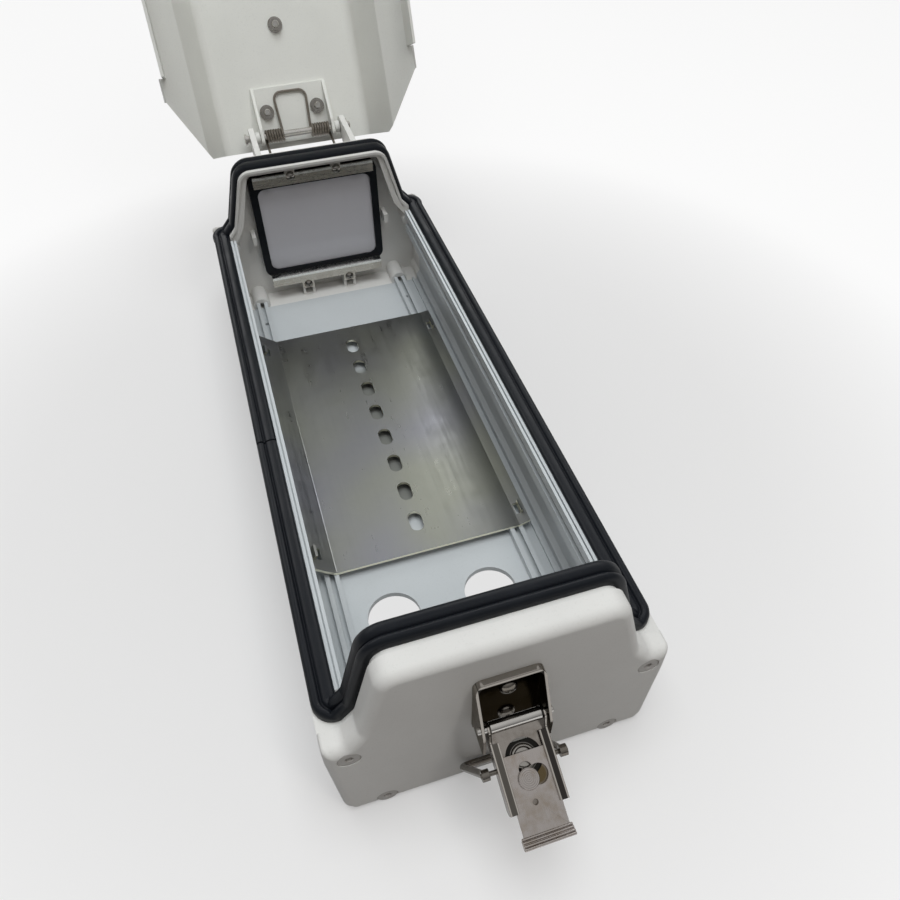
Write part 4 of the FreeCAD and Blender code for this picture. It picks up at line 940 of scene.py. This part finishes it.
class HOUSING_OT_seals(bpy.types.Operator):
    """Rim seal as one closed loop, and the window's seal"""
    bl_idname = "housing.seals"
    bl_label = "Seals"

    def execute(self, context):
        skin = rubber_skin()
        fitted(linked("rim_seal", self.rim_loop(), skin), "rim_gasket")
        refined("window_gasket", "window_seal", skin, sizes().sheet_edge)
        return {"FINISHED"}

    def quarter(self, notched, inner, end_half, bulge=0.0):
        """Frames (place, across, up, half width, height) from the middle of a side to the end's middle."""
        side_half = 4.8
        level = 55.5
        rise = 1.4
        lean = atan2(6.6, 5.7)
        corner = Vector((58.3, inner, level))
        middle = corner.x + side_half
        side_up = Vector((0, 0, 1))
        frames = [(Vector((middle, 0, level)), Vector((1, 0, 0)), side_up, side_half, 1.0)]
        if notched:
            for y, height in ((24.3, 1.0), (24.5, 0.72), (25.0, 0.72), (25.2, 1.0)):
                frames.append((Vector((middle, y, level)), Vector((1, 0, 0)), side_up, side_half, height))
        steps = 14
        for step in range(steps):
            part = step / steps
            turn = part * pi / 2
            across = Vector((cos(turn), sin(turn), 0))
            ahead = Vector((-sin(turn), cos(turn), 0))
            half = side_half + (end_half - side_half) * part + bulge * sin(2 * turn)
            tilt = lean * part * part
            up = Vector((0, 0, cos(tilt))) - ahead * sin(tilt)
            place = corner + across * half + Vector((0, 0, rise * part * part))
            frames.append((place, across, up, half, 1.0))
        end_y = corner.y + end_half
        line = rounded_line([((corner.x, end_y, level + rise), 0), ((52.6, end_y, 63.5), 6.0),
                             ((RIM_TOP_HALF, end_y, RIM_TOP), 7.0), ((0, end_y, RIM_TOP), 0)])
        for index, place in enumerate(line):
            ahead = (line[min(index + 1, len(line) - 1)] - line[max(index - 1, 0)]).normalized()
            frames.append((place, Vector((0, 1, 0)), Vector((ahead.z, 0, -ahead.x)), end_half, 1.0))
        return frames

    def rim_loop(self):
        """Two round beads with a groove between them, carried once round the rim."""
        section = [(-1.0, 0.0), (-1.0, 2.6), (-0.95, 3.4), (-0.80, 4.0), (-0.50, 4.3), (-0.15, 4.2),
                   (0.06, 3.8), (0.15, 3.0), (0.22, 3.0), (0.30, 3.8), (0.45, 4.25), (0.65, 4.3),
                   (0.85, 3.8), (0.96, 3.0), (1.0, 2.2), (1.0, 0.0)]
        front = self.quarter(False, SEAL_INNER + 0.6, 6.3, 0.4)
        rear = self.quarter(False, SEAL_INNER, 4.4)
        notched = self.quarter(True, SEAL_INNER, 4.4)
        loop = []
        for frames, sx, sy, back in ((front, 1, 1, False), (front, -1, 1, True),
                                     (notched, -1, -1, False), (rear, 1, -1, True)):
            flipped = Vector((sx, sy, 1))
            part = [(place * flipped, across * flipped, up * flipped, half, height)
                    for place, across, up, half, height in frames]
            loop += part[:0:-1] if back else part[:-1]
        work = bmesh.new()
        rings = [[work.verts.new((place + across * u * half + up * v * height) * MM) for u, v in section]
                 for place, across, up, half, height in loop]
        bridge(work, rings + rings[:1])
        return mesh_from(work, "rim_seal", 60)


class HOUSING_OT_window(bpy.types.Operator):
    """Glass pane, its two clamp bars and their screws"""
    bl_idname = "housing.window"
    bl_label = "Window"

    def execute(self, context):
        refined("window_glass", "window_pane", window_pane(), 0.0)
        bar = window_bar_steel()
        for node in ("upper_clamp_bar", "lower_clamp_bar"):
            refined(node, node.replace("clamp_bar", "window_bar"), bar, sizes().sheet_edge)
        screw = metal("round_screw_steel", (0.26, 0.245, 0.225), amount=0.3, smoothness=0.10)
        spots = [((side * 14.3, 159.9, z), (0, -1, 0)) for side in (-1, 1) for z in (90.98, 12.08)]
        turned_set("clamp_bar_screws", "window_bar_screws", dome_profile(2.9, 2.5, 1.5, 6.8, 0.6),
                   spots, screw)
        return {"FINISHED"}


class HOUSING_OT_camera_plate(bpy.types.Operator):
    """Folded and slotted plate that the camera stands on"""
    bl_idname = "housing.camera_plate"
    bl_label = "Camera plate"

    def execute(self, context):
        refined("camera_plate", "sliding_plate", zinc_sheet(), 0.0002, angle=50.0, shape=self.fold_up)
        return {"FINISHED"}

    def fold_up(self, work):
        """Folds the plate's left edge up, as it stands in the photo."""
        start = -44.9 * MM
        wing = -50.0 * MM
        wing_slope = 0.9 / 6.0
        radius = 2.5 * MM
        lean = radians(38.0)
        stretch = 1.45
        low = 7.4 * MM
        arc = radius * lean
        for step in range(6):
            place = start - arc / stretch * step / 5
            bmesh.ops.bisect_plane(work, geom=work.verts[:] + work.edges[:] + work.faces[:],
                                   dist=SAME_PLACE, plane_co=(place, 0, 0), plane_no=(1, 0, 0))
        for vert in work.verts:
            x = vert.co.x
            if x > start:
                continue
            if x < wing:
                vert.co.z -= wing_slope * (wing - x)
            run = (start - x) * stretch
            turn = min(run, arc) / radius
            straight = max(run - arc, 0.0)
            height = vert.co.z - low
            vert.co.x = start - radius * sin(turn) - straight * cos(lean) + height * sin(turn)
            vert.co.z = low + radius * (1 - cos(turn)) + straight * sin(lean) + height * cos(turn)


class HOUSING_OT_hinge(bpy.types.Operator):
    """Hinge pin, clip, bushes, coil spring and the lid's bolts, nuts and earth stud"""
    bl_idname = "housing.hinge"
    bl_label = "Hinge"

    def execute(self, context):
        shade = colours()
        bright = metal("screw_steel", shade.bright_steel, amount=0.35, smoothness=0.2)
        dull = metal("spring_wire_steel", shade.spring_steel, amount=0.4, smoothness=0.3)
        axis = [(PIN, (1, 0, 0))]
        pin = [(0, -34.6), (3.1, -34.6), (3.4, -34.3), (3.4, -33.0), (2.3, -33.0), (2.3, 34.3),
               (2.0, 34.6), (0, 34.6)]
        turned_set("hinge_pin", "fitted_hinge_pin", pin, axis, bright)
        turned_set("hinge_pin_clip", "fitted_hinge_pin_clip", ring_profile(2.32, 4.4, 31.7, 32.5), axis,
                   dull, ring=True)
        bush = paint("bush_plastic", (0.75, 0.75, 0.72), gloss=0.4, depth=0.0)
        both = axis + [(PIN, (-1, 0, 0))]
        turned_set("hinge_bushes", "fitted_hinge_bushes", ring_profile(2.38, 3.6, 24.5, 27.7, 0.3), both,
                   bush, ring=True)
        spots = [self.on_lid(side * 16.5, 14.4) for side in (-1, 1)]
        turned_set("lid_bracket_bolts", "fitted_lid_bolts", self.bolt_profile(2.1), spots, bright)
        turned_set("earth_stud", "fitted_earth_stud", self.bolt_profile(4.1),
                   [self.on_lid(0.0, 64.0)], bright)
        dark = metal("nut_steel", (0.46, 0.44, 0.41), amount=0.35, smoothness=0.14)
        for node in ("lid_bracket_nuts", "earth_nut"):
            refined(node, "fitted_" + node, dark, 0.0006, steps=3, angle=50.0)
        self.make_spring(dull)
        return {"FINISHED"}

    def on_lid(self, x, reach):
        """A spot on the pin's level of the open lid, facing out of the lid."""
        place = PIN + LID_ALONG * reach
        return (x, place.y, place.z), LID_OUTWARD

    def bolt_profile(self, tip):
        """A bolt from its threaded tip inside the lid to its low head outside."""
        points = [(0, tip), (1.7, tip), (2.0, tip + 0.3)]
        for turn in range(5):
            points += [(2.0, tip + 0.45 + turn * 0.5), (1.78, tip + 0.7 + turn * 0.5)]
        return points + [(2.0, tip + 3.2), (2.0, 11.2), (4.5, 11.2), (4.6, 11.3), (4.6, 12.0),
                         (4.3, 12.4), (2.8, 13.35), (2.5, 13.4), (0, 13.4)]

    def make_spring(self, finish):
        """One wire: leg, coil, loop that presses on the lid, coil, leg."""
        radius = 3.4
        inner, outer = 9.1, 20.94
        turns = 7 + 65 / 360
        count = 170
        loop_half, loop_reach, loop_lift = 10.6, 25.6, 3.2
        side = [Vector((outer, 197.0, 88.1))]
        for step in range(count + 1):
            part = step / count
            angle = radians(-90) + 2 * pi * turns * part
            side.append(Vector((outer - (outer - inner) * part, PIN.y + radius * cos(angle),
                                PIN.z + radius * sin(angle))))
        loop = rounded_line([((inner, 0, 0), 0), ((loop_half, -loop_reach, 0), 4.5),
                             ((-loop_half, -loop_reach, 0), 4.5), ((-inner, 0, 0), 0)])
        lean = Matrix.Rotation(-atan2(loop_lift, loop_reach), 3, "X")
        swing = Matrix.Rotation(-LID_OPEN, 3, "X")
        loop = [PIN + swing @ (lean @ point + Vector((0, 0, radius))) for point in loop]
        line = side + loop[1:-1] + [Vector((-p.x, p.y, p.z)) for p in reversed(side)]
        piece = grown(path_piece("hinge_wire", line), wire_tree(),
                      {"Wire Radius": sizes().spring_wire / 2, "Sides": 14, "Finish": finish})
        fitted(piece, "hinge_spring")


class HOUSING_OT_latch(bpy.types.Operator):
    """Latch base, lever, catch plate, bail and the lid's keeper"""
    bl_idname = "housing.latch"
    bl_label = "Latch"

    def execute(self, context):
        steel = metal("latch_steel", colours().stainless, stain=(0.30, 0.22, 0.13),
                      streaks=(1500.0, 70.0, 70.0), amount=0.45, smoothness=0.22)
        roller = metal("roller_steel", (0.62, 0.60, 0.57), amount=0.1, smoothness=0.14)
        refined("latch_base", "fitted_latch_base", latch_base_steel(), 0.0003, steps=3, angle=50.0)
        refined("latch_lever", "fitted_latch_lever", latch_lever_steel(), 0.0004, steps=3, angle=50.0,
                shape=self.long_web)
        refined("latch_leaf_spring", "fitted_latch_leaf_spring", leaf_spring_steel(), 0.0001, angle=50.0)
        dull = metal("wire_steel", (0.20, 0.185, 0.165), amount=0.4, smoothness=0.2)
        refined("latch_bail", "fitted_latch_bail", dull, 0.00015, angle=50.0)
        for node in ("latch_catch_plate", "lid_keeper", "lid_keeper_rivets"):
            refined(node, "fitted_" + node, steel, 0.00015, angle=50.0)
        down = (0, -1, 0)
        turned_set("latch_base_screws", "fitted_latch_base_screws", dome_profile(3.4, 2.0, 1.7, 6.6, 1.3),
                   [((0, -184.0, 72.4), down), ((0, -184.0, 53.0), down)], dull)
        pivot = [(PIVOT, (1, 0, 0))]
        turned_set("latch_pin", "fitted_latch_pin", rod_profile(1.3, -14.2, 14.2, 0.4), pivot, roller)
        turned_set("latch_roller", "fitted_latch_roller", ring_profile(1.36, 2.2, -9.65, 9.65, 0.2), pivot,
                   roller, steps=48, ring=True)
        turned_set("latch_link_pin", "fitted_latch_link_pin", rod_profile(0.9, -16.5, 16.5, 0.25),
                   [((0, -201.0215, 50.6279), (1, 0, 0))], dull)
        rivet = [(0, -5.6), (2.2, -5.6), (2.2, -2.9), (3.8, -2.9), (3.8, -2.15), (3.6, -1.92)]
        for ring in (3.2, 2.5, 1.8, 1.1, 0.5):
            rivet += [(ring + 0.2, -1.9), (ring, -1.98), (ring - 0.2, -1.9)]
        turned_set("latch_rivet", "fitted_latch_rivet", rivet + [(0, -1.9)],
                   [((-0.9, -208.242, 54.842), LEVER_UP)], steel, steps=48)
        self.make_lip_ribs(steel)
        return {"FINISHED"}

    def long_web(self, work):
        """Brings the lever's web up under the roller."""
        web_end = 4.2
        added = 3.7
        for vert in work.verts:
            away = vert.co / MM - PIVOT
            if (abs(away.dot(LEVER_ALONG) - web_end) < 0.1 and away.dot(LEVER_UP) < -4.0
                    and abs(away.x) < 9.9):
                vert.co -= LEVER_ALONG * added * MM

    def make_lip_ribs(self, finish):
        """Round ribs across the catch plate's thumb lip."""
        profile = [(r * MM, z * MM) for r, z in rod_profile(0.5, -9.4, 9.4, 0.4)]
        copy = linked("rib_copy", lathe(profile, 16, "rib_copy"))
        spots = [((PIVOT + LEVER_ALONG * reach + LEVER_UP * rise) * MM, (1, 0, 0))
                 for reach, rise in ((37.4, -3.05), (38.4, -2.5), (39.4, -1.75), (40.3, -1.35))]
        piece = copied("lip_ribs", copy, spots, finish)
        bpy.data.objects.remove(copy)
        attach(piece, BODY_OF["latch_catch_plate"])


class HOUSING_PT_panel(bpy.types.Panel):
    bl_idname = "HOUSING_PT_panel"
    bl_label = "Camera Housing"
    bl_space_type = "VIEW_3D"
    bl_region_type = "UI"
    bl_category = "Housing"

    def draw(self, context):
        layout = self.layout
        scene = context.scene
        for settings in (scene.housing_colours, scene.housing_sizes, scene.housing_studio):
            box = layout.box()
            for key in settings.__annotations__:
                box.prop(settings, key)
        for operator in OPERATORS:
            layout.operator(operator.bl_idname)


SETTINGS = (HousingColours, HousingSizes, HousingStudio)
OPERATORS = (HOUSING_OT_stage, HOUSING_OT_painted, HOUSING_OT_end_screws, HOUSING_OT_seals,
             HOUSING_OT_window, HOUSING_OT_camera_plate, HOUSING_OT_hinge, HOUSING_OT_latch)
CLASSES = SETTINGS + OPERATORS + (HOUSING_PT_panel,)


def register():
    for kind in CLASSES:
        bpy.utils.register_class(kind)
    bpy.types.Scene.housing_colours = bpy.props.PointerProperty(type=HousingColours)
    bpy.types.Scene.housing_sizes = bpy.props.PointerProperty(type=HousingSizes)
    bpy.types.Scene.housing_studio = bpy.props.PointerProperty(type=HousingStudio)


def unregister():
    del bpy.types.Scene.housing_studio
    del bpy.types.Scene.housing_sizes
    del bpy.types.Scene.housing_colours
    for kind in reversed(CLASSES):
        bpy.utils.unregister_class(kind)


def main():
    register()
    bpy.ops.housing.stage()
    bpy.ops.housing.painted()
    bpy.ops.housing.end_screws()
    bpy.ops.housing.seals()
    bpy.ops.housing.window()
    bpy.ops.housing.camera_plate()
    bpy.ops.housing.hinge()
    bpy.ops.housing.latch()


if __name__ == "__main__":
    main()
